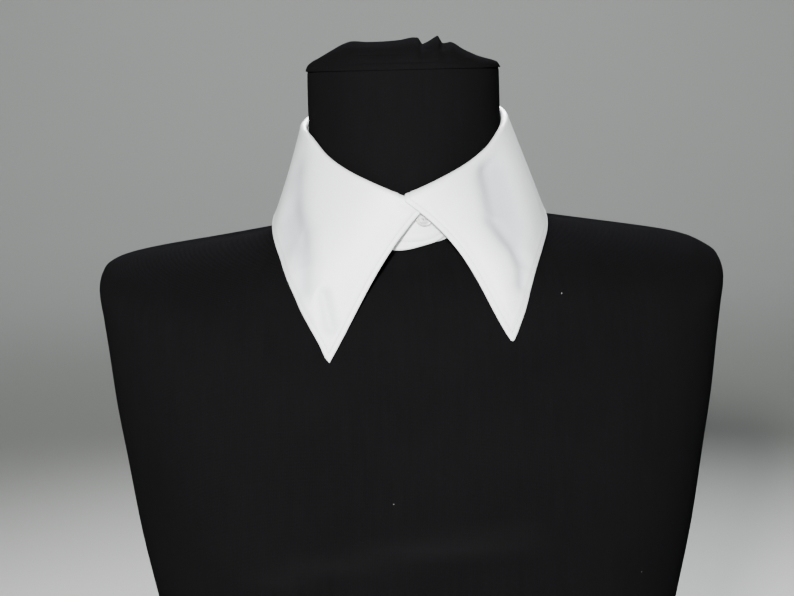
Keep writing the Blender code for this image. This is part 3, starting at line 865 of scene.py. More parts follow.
def fall_points(turn, share, wall):
    """Points down the leaf's fall, from its fold (share 0) to its outer edge (share 1).

    A straight line from the fold to the outer edge, whose reach away from the neck grows slowly at first and whose
    sideways bow is a parabola, stronger near the fold. Its belly, a cubic, is fullest two thirds of the way down.
    """
    outward = outward_at(turn)
    sideways = np.cross(outward, (0.0, 0.0, 1.0))
    sideways = np.where((turn > 180.0)[..., None], -sideways, sideways)
    start = roll_point(turn, roll_end(turn, wall), wall)
    line = hem_point(turn) - start
    reach = (line * outward).sum(axis=-1, keepdims=True) * outward
    lean = leaf_value("lean", turn)[..., None]
    s = share[..., None]
    swing = s * (lean + (1.0 - lean) * s)
    bow = leaf_value("bow", turn)[..., None] * 4.0 * s * (1.0 - s) * (1.0 + EARLY_BOW * (1.0 - 2.0 * s))
    belly = leaf_value("belly", turn)[..., None] * BELLY_PEAK * s * s * (1.0 - s)
    return start + (line - reach) * s + reach * swing + sideways * bow + outward * belly


def leaf_middle(wall):
    """The leaf's middle surface: a short stem, the fold and the fall, with rows and columns close at its edges."""
    first = LEAF_SECTIONS[0][0]
    last = LEAF_SECTIONS[-1][0]
    steps = np.array(EDGE_STEPS)
    middle = np.linspace(first + steps[-1], last - steps[-1], LEAF_PLACES)[1:-1]
    turns = np.concatenate([first + steps, middle, last - steps[::-1]])
    rise = np.linspace(-STEM_HEIGHT, 0.0, STEM_ROWS + 1)[:-1, None]
    stem = neck_point(turns[None], layer_offset(turns, wall)[None], roll_centre_z(turns, wall)[None] + rise)
    bend_share = np.linspace(0.0, 1.0, ROLL_ROWS + 1)[:-1, None]
    bend = roll_end(turns, wall)[None] * bend_share
    roll = roll_point(np.broadcast_to(turns, (ROLL_ROWS, len(turns))), bend, wall)
    straight = hem_point(turns) - roll_point(turns, roll_end(turns, wall), wall)
    near_edge = steps[None, ::-1].T / np.linalg.norm(straight, axis=1)[None]
    even = np.linspace(0.0, 1.0, FALL_ROWS)[:-1, None] * (1.0 - near_edge[:1])
    shares = np.concatenate([even, 1.0 - near_edge])
    fall = fall_points(np.broadcast_to(turns, shares.shape), shares, wall)
    return np.concatenate([stem, roll, fall])


def dip(grid, row, wall):
    """How deep one trough is at each point of the leaf: a bell about its straight segment."""
    trough = dict(zip(TROUGH_COLUMNS, row))
    start = fall_points(np.array(trough["start_turn"]), np.array(trough["start_share"]), wall)
    end = fall_points(np.array(trough["end_turn"]), np.array(trough["end_share"]), wall)
    away = distance_to_segment(grid, start, end) / trough["half_width"]
    return trough["depth"] * np.exp(-away * away)


def press_troughs(grid, normals, wall):
    """Troughs and hollows pressed into the fall, and their depth. Of two troughs the deeper counts."""
    sink = np.max([dip(grid, row, wall) for row in LEAF_TROUGHS], axis=0)
    sink += sum(dip(grid, row, wall) for row in LEAF_HOLLOWS)
    below_fold = smooth_step(STEM_ROWS + ROLL_ROWS, STEM_ROWS + ROLL_ROWS + ROWS_BELOW_FOLD, np.arange(len(grid)))
    sink = sink * below_fold[:, None]
    return grid - normals * sink[..., None], sink


def edge_profile(edge, wall, inset):
    """Half thickness and relief by distance from the edge.

    The edge is round, the turned-in allowance is a little thicker, and the stitching presses a groove.
    """
    inside = 1.0 - np.clip(edge / EDGE_ROUND, 0.0, 1.0)
    half = wall / 2.0 * np.sqrt(1.0 - inside * inside)
    allowance = ALLOWANCE_RISE * (1.0 - smooth_step(*ALLOWANCE_ENDS, edge)) * smooth_step(0.0, EDGE_ROUND, edge)
    groove = GROOVE_DEPTH * np.exp(-(((edge - inset) / GROOVE_HALF_WIDTH) ** 2))
    return half + (allowance - groove) * smooth_step(0.0, EDGE_ROUND, edge)


def cloth_wear_and_painted_shade(edge, inset, sink):
    """The cloth's marks: its edges' wear, and painted shade, a darker colour standing in for shadow, in deep
    creases and along the stitched groove.
    """
    groove = np.exp(-(((edge - inset) / PAINTED_GROOVE_SHADE_HALF_WIDTH) ** 2))
    tone = PAINTED_CREASE_SHADE_SHARE * np.clip(sink / CREASE_FULL_DEPTH, 0.0, 1.0) + PAINTED_GROOVE_SHADE * groove
    return {EDGE_WEAR: np.exp(-edge / WEAR_REACH), PAINTED_CREASE_SHADE: tone}


def level_line(points, normals, edge, level, from_end):
    """Where the distance from an edge passes a level in each row: point, normal, whether it exists."""
    inside = edge >= level
    if from_end:
        crossing = inside[:, :-1] & ~inside[:, 1:]
        place = crossing.shape[1] - 1 - np.argmax(crossing[:, ::-1], axis=1)
    else:
        crossing = ~inside[:, :-1] & inside[:, 1:]
        place = np.argmax(crossing, axis=1)
    rows = np.arange(len(points))
    here = edge[rows, place]
    there = edge[rows, place + 1]
    share = np.clip((level - here) / np.where(there == here, 1.0, there - here), 0.0, 1.0)[:, None]
    point = points[rows, place] * (1.0 - share) + points[rows, place + 1] * share
    normal = normals[rows, place] * (1.0 - share) + normals[rows, place + 1] * share
    return point, normal, crossing.any(axis=1)


def stitch_row(path, normals, sizes):
    """Centres, sides, ups and radii of stitches end to end along a path, their ends in the cloth."""
    pitch = sizes.stitch_pitch / MM
    radius = sizes.thread / MM / 2.0
    travelled = lengths_along(path)
    count = int(travelled[-1] / pitch)
    ways = np.linspace(-0.5, 0.5, STITCH_RINGS) * (1.0 - STITCH_GAP_SHARE)
    wanted = (np.arange(count)[:, None] + 0.5 + ways[None]) * pitch
    centres = np.stack([np.interp(wanted, travelled, path[:, part]) for part in range(3)], axis=-1)
    ups = np.stack([np.interp(wanted, travelled, normals[:, part]) for part in range(3)], axis=-1)
    ups /= np.linalg.norm(ups, axis=-1, keepdims=True)
    ahead = centres[:, -1] - centres[:, 0]
    ahead /= np.linalg.norm(ahead, axis=-1, keepdims=True)
    sides = np.cross(ahead[:, None], ups)
    sides /= np.linalg.norm(sides, axis=-1, keepdims=True)
    bend = 1.0 - (np.linspace(-1.0, 1.0, STITCH_RINGS)) ** 2
    lift = radius * (bend * (1.0 + STITCH_SINK) - STITCH_SINK)
    radii = np.broadcast_to(radius * (0.55 + 0.45 * bend), centres.shape[:2])
    return centres + ups * lift[None, :, None], sides, ups, radii


def join_rows(rows):
    """Several rows of stitches as one."""
    return [np.concatenate([row[part] for row in rows]) for part in range(4)]


def leaf_grids(sizes):
    """The leaf's outer and inner surface, normals, distances from its edges, marks and cloth places."""
    wall = sizes.wall / MM
    inset = sizes.stitch_inset / MM
    middle = leaf_middle(wall)
    normals = grid_normals(middle)
    if normals[SURE_ROW, 0, 1] > 0.0:
        normals = -normals
    middle, sink = press_troughs(middle, normals, wall)
    pressed = grid_normals(middle)
    normals = pressed * np.sign((pressed * normals).sum(axis=2, keepdims=True))
    edges = {
        "hem": distance_to_line(middle, middle[-1]),
        "left": distance_to_line(middle, middle[:, 0]),
        "right": distance_to_line(middle, middle[:, -1]),
        "stem": distance_to_line(middle, middle[0]),
    }
    cut_edge = np.minimum(np.minimum(edges["hem"], edges["left"]), edges["right"])
    relief = edge_profile(cut_edge, wall, inset)
    stem_half = wall / 2.0 * np.sqrt(1.0 - (1.0 - np.clip(edges["stem"] / EDGE_ROUND, 0.0, 1.0)) ** 2)
    relief = np.minimum(relief, np.where(edges["stem"] < EDGE_ROUND, stem_half, relief))
    outer = middle + normals * relief[..., None]
    inner = middle - normals * relief[..., None]
    down = lengths_along(middle.transpose(1, 0, 2)).T
    mid_row = STEM_ROWS + ROLL_ROWS + FALL_ROWS // 2
    across = np.broadcast_to(lengths_along(middle[mid_row])[None], down.shape)
    place = np.stack([across, down], axis=-1) * MM
    return outer, inner, normals, edges, cloth_wear_and_painted_shade(cut_edge, inset, sink), place


def leaf_stitch_path(points, normals, edges, inset):
    """The topstitching line down the left front edge, along the outer edge and up the right front edge."""
    fold = STEM_ROWS + ROLL_ROWS // 2
    left = level_line(points[fold:], normals[fold:], edges["left"][fold:], inset, False)
    right = level_line(points[fold:], normals[fold:], edges["right"][fold:], inset, True)
    swapped = points.transpose(1, 0, 2), normals.transpose(1, 0, 2), edges["hem"].T
    hem = level_line(*swapped, inset, True)
    keep_left = left[2] & (distance_to_line(left[0][None], points[-1])[0] >= inset)
    keep_right = right[2] & (distance_to_line(right[0][None], points[-1])[0] >= inset)
    from_left = distance_to_line(hem[0][None], points[:, 0])[0]
    from_right = distance_to_line(hem[0][None], points[:, -1])[0]
    keep_hem = hem[2] & (from_left >= inset) & (from_right >= inset)
    path = np.concatenate([left[0][keep_left], hem[0][keep_hem], right[0][keep_right][::-1]])
    ups = np.concatenate([left[1][keep_left], hem[1][keep_hem], right[1][keep_right][::-1]])
    return path, ups


def dress(piece, slot, *nodes):
    """The piece rides on the body and stands for its solids, which are hidden. The slot is not used."""
    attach(piece, BODY)
    if nodes:
        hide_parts(*nodes)


def band_edges(turn, wall):
    """Heights of the band's lower and upper edge, drawn together round its two ends by a quarter circle."""
    turns = column(BAND_SECTIONS, BAND_COLUMNS, "turn")
    low = curve_through(turns, column(BAND_SECTIONS, BAND_COLUMNS, "low_z"), turn)
    on_leaf = np.clip(turn, LEAF_SECTIONS[0][0], LEAF_SECTIONS[-1][0])
    high = roll_centre_z(on_leaf, wall) - STEM_HEIGHT - SEAM_GAP
    past = np.abs(turn - on_leaf)
    high = high - BAND_END_DROP * past * past
    to_end = np.minimum(turn - turns[0], turns[-1] - turn) / BAND_END_ROUND
    inside = 1.0 - np.clip(to_end, 0.0, 1.0)
    round_share = BAND_END_FLAT + (1.0 - BAND_END_FLAT) * np.sqrt(1.0 - inside * inside)
    middle = low + (high - low) * BAND_END_HEIGHT
    return middle + (low - middle) * round_share, middle + (high - middle) * round_share


def band_grids(sizes):
    """The band's outer and inner surface: an upright strip on an oval, its left end a layer further out."""
    wall = sizes.wall / MM
    inset = sizes.stitch_inset / MM
    first = BAND_SECTIONS[0][0]
    last = BAND_SECTIONS[-1][0]
    steps = np.array(EDGE_STEPS)
    turns = np.linspace(first + steps[-1], last - steps[-1], BAND_PLACES)[1:-1]
    turns = np.concatenate([first + steps, turns, last - steps[::-1]])
    low, high = band_edges(turns, wall)
    tall = high - low
    near = steps[:, None] / tall[None]
    even = near[-1:] + np.linspace(0.0, 1.0, BAND_ROWS)[1:-1, None] * (1.0 - 2.0 * near[-1:])
    shares = np.concatenate([near, even, 1.0 - near[::-1]])
    middle = neck_point(turns[None], layer_offset(turns, wall)[None], low[None] + tall[None] * shares)
    normals = grid_normals(middle)
    out = outward_at(np.broadcast_to(turns, shares.shape))
    normals = normals * np.sign((normals * out).sum(axis=2, keepdims=True))
    around = np.concatenate([middle[::-1, 0], middle[0], middle[:, -1]])
    low_edge = distance_to_line(middle, around)
    top_edge = distance_to_line(middle, middle[-1])
    edge = np.minimum(low_edge, top_edge)
    relief = edge_profile(edge, wall, inset)
    outer = middle + normals * relief[..., None]
    inner = middle - normals * relief[..., None]
    across = np.broadcast_to(lengths_along(middle[len(middle) // 2])[None], shares.shape)
    place = np.stack([across, tall[None] * shares], axis=-1) * MM
    return outer, inner, normals, edge, place


def band_stitch_path(points, normals, edge, inset):
    """The topstitching line along the band's lower edge and round its two ends."""
    swapped = points.transpose(1, 0, 2), normals.transpose(1, 0, 2), edge.T
    low = level_line(*swapped, inset, False)
    high = level_line(*swapped, inset, True)
    keep = low[2] & high[2]
    ends = BAND_END_STITCH_ROWS
    return tuple(
        np.concatenate([high[part][keep][:ends][::-1], low[part][keep], high[part][keep][-ends:][::-1]])
        for part in (0, 1)
    )


def buttonhole_rows(sizes):
    """Beads of thread set side by side round a slit in the band's upper layer, level with the button."""
    wall = sizes.wall / MM
    radius = sizes.thread / MM / 2.0
    face = under_offset(wall) + wall + LAYER_GAP + wall / 2.0
    per_degree = math.radians(1.0) * (NECK_HALF_DEPTH + face)
    count = int(HOLE_LENGTH / HOLE_BEAD_PITCH)
    along = np.linspace(0.0, HOLE_LENGTH, count)
    middle_up = HOLE_SLIT_HALF + HOLE_BEAD_LENGTH / 2.0
    sides_along = np.concatenate([along, along])
    heights = np.concatenate([np.full(count, middle_up), np.full(count, -middle_up)])
    ends = np.linspace(-middle_up, middle_up, HOLE_END_BEADS)
    end_along = np.repeat([-HOLE_END_REACH, HOLE_LENGTH + HOLE_END_REACH], HOLE_END_BEADS)
    end_heights = np.concatenate([ends, ends])
    ways = np.linspace(-0.5, 0.5, STITCH_RINGS)
    bend = 1.0 - (2.0 * ways) ** 2
    lift = radius * (bend * (1.0 + STITCH_SINK) - STITCH_SINK)
    upright = heights[:, None] + ways[None] * HOLE_BEAD_LENGTH
    level = np.broadcast_to(sides_along[:, None], upright.shape)
    end_level = end_along[:, None] + ways[None] * HOLE_BEAD_LENGTH
    end_upright = np.broadcast_to(end_heights[:, None], end_level.shape)
    turn = HOLE_TURN_START + np.concatenate([level, end_level]) / per_degree
    z = BUTTON_Z + np.concatenate([upright, end_upright])
    centres = neck_point(turn, face + lift[None], z)
    ups = outward_at(turn)
    ahead = centres[:, -1] - centres[:, 0]
    ahead /= np.linalg.norm(ahead, axis=-1, keepdims=True)
    sides = np.cross(ahead[:, None], ups)
    sides /= np.linalg.norm(sides, axis=-1, keepdims=True)
    radii = np.broadcast_to(radius * (0.6 + 0.4 * bend), centres.shape[:2])
    return centres, sides, ups, radii


def button_thread_rows(sizes):
    """Strands of thread between the button's four holes, two upright bars of arched strands."""
    wall = sizes.wall / MM
    radius = sizes.thread / MM / 2.0
    angle = math.radians(BUTTON_TURN)
    outward = np.array([-math.sin(angle), -math.cos(angle), 0.0])
    sideways = np.array([math.cos(angle), -math.sin(angle), 0.0])
    up = np.array([0.0, 0.0, 1.0])
    face = under_offset(wall) + wall + LAYER_GAP + wall / 2.0 + SEAM_GAP
    seat = neck_point(BUTTON_TURN, face, BUTTON_Z)
    corner = HOLE_SPREAD * math.sqrt(0.5)
    spread = (np.arange(THREAD_STRANDS) - (THREAD_STRANDS - 1) / 2.0) * radius * 1.7
    starts = np.concatenate([-corner + spread, corner + spread])
    ways = np.linspace(-1.0, 1.0, 2 * STITCH_RINGS + 1)
    rise = ways * corner * 1.12
    height = BUTTON_FACE - THREAD_DIP + (THREAD_DIP + THREAD_ARCH) * (1.0 - ways ** 4)
    shape = (len(starts), len(ways), 1)
    centres = seat + np.broadcast_to(starts[:, None, None], shape) * sideways
    centres = centres + np.broadcast_to(rise[None, :, None], shape) * up
    centres = centres + np.broadcast_to(height[None, :, None], shape) * outward
    sides = np.broadcast_to(sideways, centres.shape)
    ahead = np.gradient(centres, axis=1)
    ahead /= np.linalg.norm(ahead, axis=-1, keepdims=True)
    ups = np.cross(sides, ahead)
    ups /= np.linalg.norm(ups, axis=-1, keepdims=True)
    radii = np.full(centres.shape[:2], radius)
    return centres, sides, ups, radii


def form_rings():
    """Rings of the form, close together: each column of its table is a smooth curve along the profile."""
    sizes = np.array(FORM_RINGS)
    steps = np.linalg.norm(np.diff(sizes[:, :6], axis=0), axis=1)
    way = np.concatenate([[0.0], np.cumsum(steps)])
    steps = np.linspace(0.0, len(way) - 1.0, (len(way) - 1) * RINGS_BETWEEN + 1)
    fine = np.interp(steps, np.arange(len(way)), way)
    values = {}
    for name in FORM_COLUMNS:
        values[name] = curve_through(way, column(FORM_RINGS, FORM_COLUMNS, name), fine, steady=True)[:, None]
    turn = np.arange(FORM_SEGMENTS + 1) / FORM_SEGMENTS * 2.0 * np.pi - np.pi
    across = -rounded(np.sin(turn)[None], values["squareness"])
    along = -rounded(np.cos(turn)[None], values["squareness"])
    depth = np.where(along < 0.0, -values["front_y"], values["back_y"])
    front = np.clip(-along, 0.0, 1.0) ** FORM_FRONT_POWER
    back = np.clip(along, 0.0, 1.0) ** values["back_power"]
    side_z = values["side_z"]
    x = NECK_SHIFT_X * smooth_step(SHOULDER_Z, NECK_FOOT_Z, side_z) + across * values["half_width"]
    y = along * depth
    on_shoulder = smooth_step(*TILT_STARTS, side_z) * (1.0 - smooth_step(*TILT_ENDS, side_z))
    z = side_z + (values["front_z"] - side_z) * front + (values["back_z"] - side_z) * back
    z = z + SHOULDER_TILT * on_shoulder * np.clip(x / TILT_REACH, -1.0, 1.0)
    return np.stack([x, y, z], axis=2)


def raise_folds(rings):
    """Soft ridges of the cover across the front and the back, and how much painted sheen each point gets.

    They are bell-shaped across and rise and die along them. The painted sheen, a lighter colour standing in for
    light caught on the folds, is strongest on their tops.
    """
    down = np.gradient(rings, axis=0)
    round_it = np.gradient(rings, axis=1)
    normals = np.cross(round_it, down)
    normals /= np.maximum(np.linalg.norm(normals, axis=2, keepdims=True), 1e-12)
    outward = np.sign((normals * (rings * (1.0, 1.0, 0.0))).sum(axis=2, keepdims=True))
    normals = normals * np.where(outward == 0.0, 1.0, outward)
    lift = np.zeros(rings.shape[:2])
    for fold, side in ((CHEST_FOLD, -1.0), (LOW_FOLD, -1.0), (BACK_FOLD, 1.0)):
        xs = column(fold, COVER_FOLD_COLUMNS, "x")
        inside = np.clip(rings[..., 0], xs[0], xs[-1])
        line_z = curve_through(xs, column(fold, COVER_FOLD_COLUMNS, "z"), inside)
        height = np.interp(rings[..., 0], xs, column(fold, COVER_FOLD_COLUMNS, "height"), left=0.0, right=0.0)
        away = (rings[..., 2] - line_z) / FOLD_HALF_WIDTH
        lift += height * np.exp(-away * away) * (rings[..., 1] * side > 0.0)
    return rings + normals * lift[..., None], lift / FOLD_FULL_HEIGHT


def form_mesh():
    """The form's points, faces, each face corner's cloth place and each point's painted sheen."""
    rings, rubbed = raise_folds(form_rings())
    around = lengths_along(rings)
    half = around[:, FORM_SEGMENTS // 2][:, None]
    up = lengths_along(rings[:, FORM_SEGMENTS // 2][None])[0]
    place = np.stack([around - half, np.broadcast_to(up[:, None], around.shape)], axis=-1)
    low_middle = rings[0, :-1].mean(axis=0)
    high_middle = rings[-1, :-1].mean(axis=0)
    lows = [low_middle + (rings[0] - low_middle) * share for share in CAP_SHARES[::-1]]
    highs = [high_middle + (rings[-1] - high_middle) * share for share in CAP_SHARES]
    grid = np.concatenate([np.array(lows), rings, np.array(highs)])
    low_places = [place[0] * (share, 1.0) for share in CAP_SHARES[::-1]]
    high_places = [place[-1] * (share, 1.0) for share in CAP_SHARES]
    places = np.concatenate([np.array(low_places), place, np.array(high_places)])
    rows = len(grid)
    index = np.arange(rows * FORM_SEGMENTS).reshape(rows, FORM_SEGMENTS)
    ahead = np.roll(index, -1, axis=1)
    quads = np.stack([index[:-1], ahead[:-1], ahead[1:], index[1:]], axis=-1).reshape(-1, 4)
    uv = np.stack([places[:-1, :-1], places[:-1, 1:], places[1:, 1:], places[1:, :-1]], axis=-2).reshape(-1, 4, 2)
    count = rows * FORM_SEGMENTS
    low_end = np.full(FORM_SEGMENTS, count)
    low_fan = np.stack([ahead[0], index[0], low_end, low_end], axis=-1)
    high_fan = np.stack([index[-1], ahead[-1], low_end + 1, low_end + 1], axis=-1)
    middles = places[:, :-1] * (0.0, 1.0)
    low_uv = np.stack([places[0, 1:], places[0, :-1], middles[0], middles[0]], axis=-2)
    high_uv = np.stack([places[-1, :-1], places[-1, 1:], middles[-1], middles[-1]], axis=-2)
    points = np.concatenate([grid[:, :-1].reshape(-1, 3), low_middle[None], high_middle[None]])
    caps = np.zeros(len(CAP_SHARES) * FORM_SEGMENTS)
    rubbed = np.concatenate([caps, rubbed[:, :-1].reshape(-1), caps, np.zeros(2)])
    return points, np.concatenate([quads, low_fan, high_fan]), np.concatenate([uv, low_uv, high_uv]) * MM, rubbed


def crease_depth(points):
    """How deep the tuck's creases are at each point: a bell across each crease, fading towards its two ends."""
    height = points[..., 2] - NECK_TOP_Z
    depth = np.zeros(points.shape[:2])
    for row in TUCK_CREASES:
        crease = dict(zip(CREASE_COLUMNS, row))
        away = (height - crease["height"]) / crease["half_width"]
        begins = smooth_step(crease["start_x"], crease["start_x"] + CREASE_FADE, points[..., 0])
        ends = 1.0 - smooth_step(crease["end_x"] - CREASE_FADE, crease["end_x"], points[..., 0])
        on_side = points[..., 1] * crease["side"] > 0.0
        depth = np.maximum(depth, crease["depth"] * np.exp(-away * away) * begins * ends * on_side)
    return depth


def tuck_grids():
    """The tucked cloth: its front outline carried along the way that it rolls over the rim."""
    share = np.linspace(0.0, 1.0, TUCK_PLACES)
    across = np.sin((share - 0.5) * np.pi)
    x = across * TUCK_HALF_WIDTH
    way = np.linspace(0.0, 1.0, TUCK_ROWS)
    ways = column(ROLL_OVER, ROLL_OVER_NAMES, "way")
    depth = curve_through(ways, column(ROLL_OVER, ROLL_OVER_NAMES, "depth"), way)[:, None]
    height = curve_through(ways, column(ROLL_OVER, ROLL_OVER_NAMES, "height"), way)[:, None]
    half_depth = TUCK_HALF_DEPTH * np.sqrt(1.0 - TUCK_END_SHARE * across * across)[None]
    y = depth * half_depth
    outline_x = np.clip(x[None] - TUCK_SLANT * y, -TUCK_HALF_WIDTH, TUCK_HALF_WIDTH)
    tall = curve_through(
        column(TUCK_OUTLINE, TUCK_NAMES, "x"), column(TUCK_OUTLINE, TUCK_NAMES, "height"), outline_x
    )
    z = NECK_TOP_Z - TUCK_SKIRT + (tall + TUCK_SKIRT) * height
    outer = np.stack([np.broadcast_to(x[None] + NECK_SHIFT_X, y.shape), y, z], axis=-1)
    normals = grid_normals(outer)
    normals = normals * np.sign(normals[len(way) // 2, len(share) // 2, 2])
    outer = outer - normals * crease_depth(outer)[..., None]
    inner = outer - normals * TUCK_WALL
    down = lengths_along(outer.transpose(1, 0, 2)).T
    along = lengths_along(outer)
    return outer, inner, np.stack([along, down], axis=-1) * MM


class CollarSizes(bpy.types.PropertyGroup):
    """Sizes of the cloth and its sewing."""

    wall: bpy.props.FloatProperty(
        name="Cloth thickness",
        description="Thickness of the leaf and the band, each two layers fused together",
        default=0.0012, min=0.0008, max=0.0016, precision=4, unit="LENGTH", subtype="DISTANCE",
    )
    stitch_inset: bpy.props.FloatProperty(
        name="Stitching inset",
        description="Distance of the topstitching from the edge",
        default=0.003, min=0.0015, max=0.006, precision=4, unit="LENGTH", subtype="DISTANCE",
    )
    stitch_pitch: bpy.props.FloatProperty(
        name="Stitch length",
        description="Distance from one stitch to the next",
        default=0.0024, min=0.0015, max=0.004, precision=4, unit="LENGTH", subtype="DISTANCE",
    )
    thread: bpy.props.FloatProperty(
        name="Thread",
        description="Thickness of the sewing thread",
        default=0.00034, min=0.0002, max=0.0006, precision=5, unit="LENGTH", subtype="DISTANCE",
    )
    yarn: bpy.props.FloatProperty(
        name="Poplin yarn",
        description="Distance between the yarns of the cotton poplin",
        default=0.0003, min=0.0002, max=0.0006, precision=5, unit="LENGTH", subtype="DISTANCE",
    )
    wale: bpy.props.FloatProperty(
        name="Jersey wale",
        description="Width of one upright rib of the form's knitted cover",
        default=0.0010, min=0.0006, max=0.002, precision=5, unit="LENGTH", subtype="DISTANCE",
    )
    course: bpy.props.FloatProperty(
        name="Jersey course",
        description="Height of one loop of the form's knitted cover",
        default=0.0008, min=0.0005, max=0.002, precision=5, unit="LENGTH", subtype="DISTANCE",
    )


class CollarColours(bpy.types.PropertyGroup):
    """Colours of the cloth, the thread, the button and the floor."""

    cotton: bpy.props.FloatVectorProperty(
        name="Cotton", description="The collar's white poplin",
        default=slot_colour("collar_cotton"), min=0.0, max=1.0, size=3, subtype="COLOR",
    )
    # Both the poplin's own darker tone in thicker yarns and the colour of the painted shade in creases and stitched
    # grooves
    cotton_tone_and_painted_shade: bpy.props.FloatVectorProperty(
        name="Cotton shade", description="The poplin's cooler tone in creases, grooves and thicker yarns",
        default=(0.55, 0.59, 0.64), min=0.0, max=1.0, size=3, subtype="COLOR",
    )
    thread: bpy.props.FloatVectorProperty(
        name="Thread", description="The sewing thread",
        default=(0.68, 0.68, 0.70), min=0.0, max=1.0, size=3, subtype="COLOR",
    )
    button: bpy.props.FloatVectorProperty(
        name="Button", description="The button's lighter tone",
        default=slot_colour("button_white"), min=0.0, max=1.0, size=3, subtype="COLOR",
    )
    button_shade: bpy.props.FloatVectorProperty(
        name="Button shade", description="The button's darker, cooler tone",
        default=(0.42, 0.43, 0.44), min=0.0, max=1.0, size=3, subtype="COLOR",
    )
    jersey: bpy.props.FloatVectorProperty(
        name="Jersey", description="The form's black knitted cover",
        default=slot_colour("form_jersey"), min=0.0, max=1.0, size=3, subtype="COLOR",
    )
    lint: bpy.props.FloatVectorProperty(
        name="Lint", description="Specks of lint on the cover",
        default=(0.3, 0.3, 0.31), min=0.0, max=1.0, size=3, subtype="COLOR",
    )
    floor: bpy.props.FloatVectorProperty(
        name="Floor", description="The studio's pale paper",
        default=(0.47, 0.48, 0.46), min=0.0, max=1.0, size=3, subtype="COLOR",
    )


class COLLAR_OT_make_leaf(bpy.types.Operator):
    """Make the leaf: the collar's fall with rounded edges, soft troughs and topstitching"""

    bl_idname = "collar.make_leaf"
    bl_label = "Leaf"

    def execute(self, context):
        sizes = context.scene.collar_sizes
        colours = context.scene.collar_colours
        outer, inner, normals, edges, marks, place = leaf_grids(sizes)
        points, faces, spot = shell_mesh(outer, inner)
        marks = {mark: values.reshape(-1)[spot] for mark, values in marks.items()}
        cotton = cotton_finish(sizes, colours)
        leaf = add_piece("leaf_cloth", points, faces, cotton, uv=place.reshape(-1, 2)[spot], marks=marks)
        dress(leaf, "collar_cotton", "collar_leaf")
        inset = sizes.stitch_inset / MM
        rows = [
            stitch_row(*leaf_stitch_path(outer, normals, edges, inset), sizes),
            stitch_row(*leaf_stitch_path(inner, -normals, edges, inset), sizes),
        ]
        stitching = add_tubes("leaf_stitching", *join_rows(rows), thread_finish(colours))
        dress(stitching, "collar_cotton")
        return {"FINISHED"}


class COLLAR_OT_make_band(bpy.types.Operator):
    """Make the band: the upright strip round the neck with its topstitching and buttonhole"""

    bl_idname = "collar.make_band"
    bl_label = "Band"

    def execute(self, context):
        sizes = context.scene.collar_sizes
        colours = context.scene.collar_colours
        outer, inner, normals, edge, place = band_grids(sizes)
        points, faces, spot = shell_mesh(outer, inner)
        marks = cloth_wear_and_painted_shade(edge, sizes.stitch_inset / MM, np.zeros_like(edge))
        marks = {mark: values.reshape(-1)[spot] for mark, values in marks.items()}
        cotton = bpy.data.materials["white cotton poplin"]
        band = add_piece("band_cloth", points, faces, cotton, uv=place.reshape(-1, 2)[spot], marks=marks)
        dress(band, "collar_cotton", "collar_band")
        path, ups = band_stitch_path(outer, normals, edge, sizes.stitch_inset / MM)
        thread = bpy.data.materials["white sewing thread"]
        rows = [stitch_row(path, ups, sizes), buttonhole_rows(sizes)]
        stitching = add_tubes("band_stitching", *join_rows(rows), thread)
        dress(stitching, "collar_cotton")
        return {"FINISHED"}


class COLLAR_OT_dress_button(bpy.types.Operator):
    """Give the button its pearly finish and the thread that holds it"""

    bl_idname = "collar.dress_button"
    bl_label = "Button"

    def execute(self, context):
        sizes = context.scene.collar_sizes
        colours = context.scene.collar_colours
        button = frame["nodes"]["button"]
        pearl = pearl_finish(colours)
        for place in button.material_slots:
            place.material = pearl
        thread = bpy.data.materials["white sewing thread"]
        strands = add_tubes("button_thread", *button_thread_rows(sizes), thread)
        dress(strands, "button_white")
        return {"FINISHED"}


class COLLAR_OT_make_form(bpy.types.Operator):
    """Make the form's smooth cover and the cloth tucked over the top of its neck"""

    bl_idname = "collar.make_form"
    bl_label = "Dress form"

    def execute(self, context):
        sizes = context.scene.collar_sizes
        colours = context.scene.collar_colours
        jersey = jersey_finish(sizes, colours)
        points, faces, uv, rubbed = form_mesh()
        form = add_piece("form_cover", points, faces, jersey, corner_uv=uv, marks={PAINTED_FOLD_SHEEN: rubbed})
        dress(form, "form_jersey", "form_torso")
        outer, inner, place = tuck_grids()
        shell, shell_faces, spot = shell_mesh(outer, inner)
        tuck = add_piece("neck_tuck_cloth", shell, shell_faces, jersey, uv=place.reshape(-1, 2)[spot])
        dress(tuck, "form_jersey", "form_neck_tuck")
        return {"FINISHED"}


def cove_mesh():
    """A round floor that curves up into a wall: its profile of radius and height turned about the upright axis."""
    way = np.arange(len(COVE_PROFILE), dtype=float)
    fine = np.linspace(0.0, way[-1], COVE_ROWS)
    radius = curve_through(way, column(COVE_PROFILE, COVE_NAMES, "radius"), fine)
    height = np.maximum(curve_through(way, column(COVE_PROFILE, COVE_NAMES, "height"), fine), 0.0)
    height[fine <= 2.0] = 0.0
    angle = np.arange(COVE_SEGMENTS) / COVE_SEGMENTS * 2.0 * np.pi
    ring = np.stack([np.cos(angle), np.sin(angle)], axis=1)
    walls = np.concatenate([
        ring[None] * radius[:, None, None],
        np.broadcast_to(height[:, None, None], (len(fine), COVE_SEGMENTS, 1)),
    ], axis=2)
    index = np.arange(len(fine) * COVE_SEGMENTS).reshape(len(fine), COVE_SEGMENTS)
    ahead = np.roll(index, -1, axis=1)
    quads = np.stack([index[:-1], index[1:], ahead[1:], ahead[:-1]], axis=-1).reshape(-1, 4)
    centre = len(fine) * COVE_SEGMENTS
    fan = np.stack([np.full(COVE_SEGMENTS, centre), index[0], ahead[0]], axis=-1)
    return np.concatenate([walls.reshape(-1, 3), np.zeros((1, 3))]), quads.tolist() + fan.tolist()


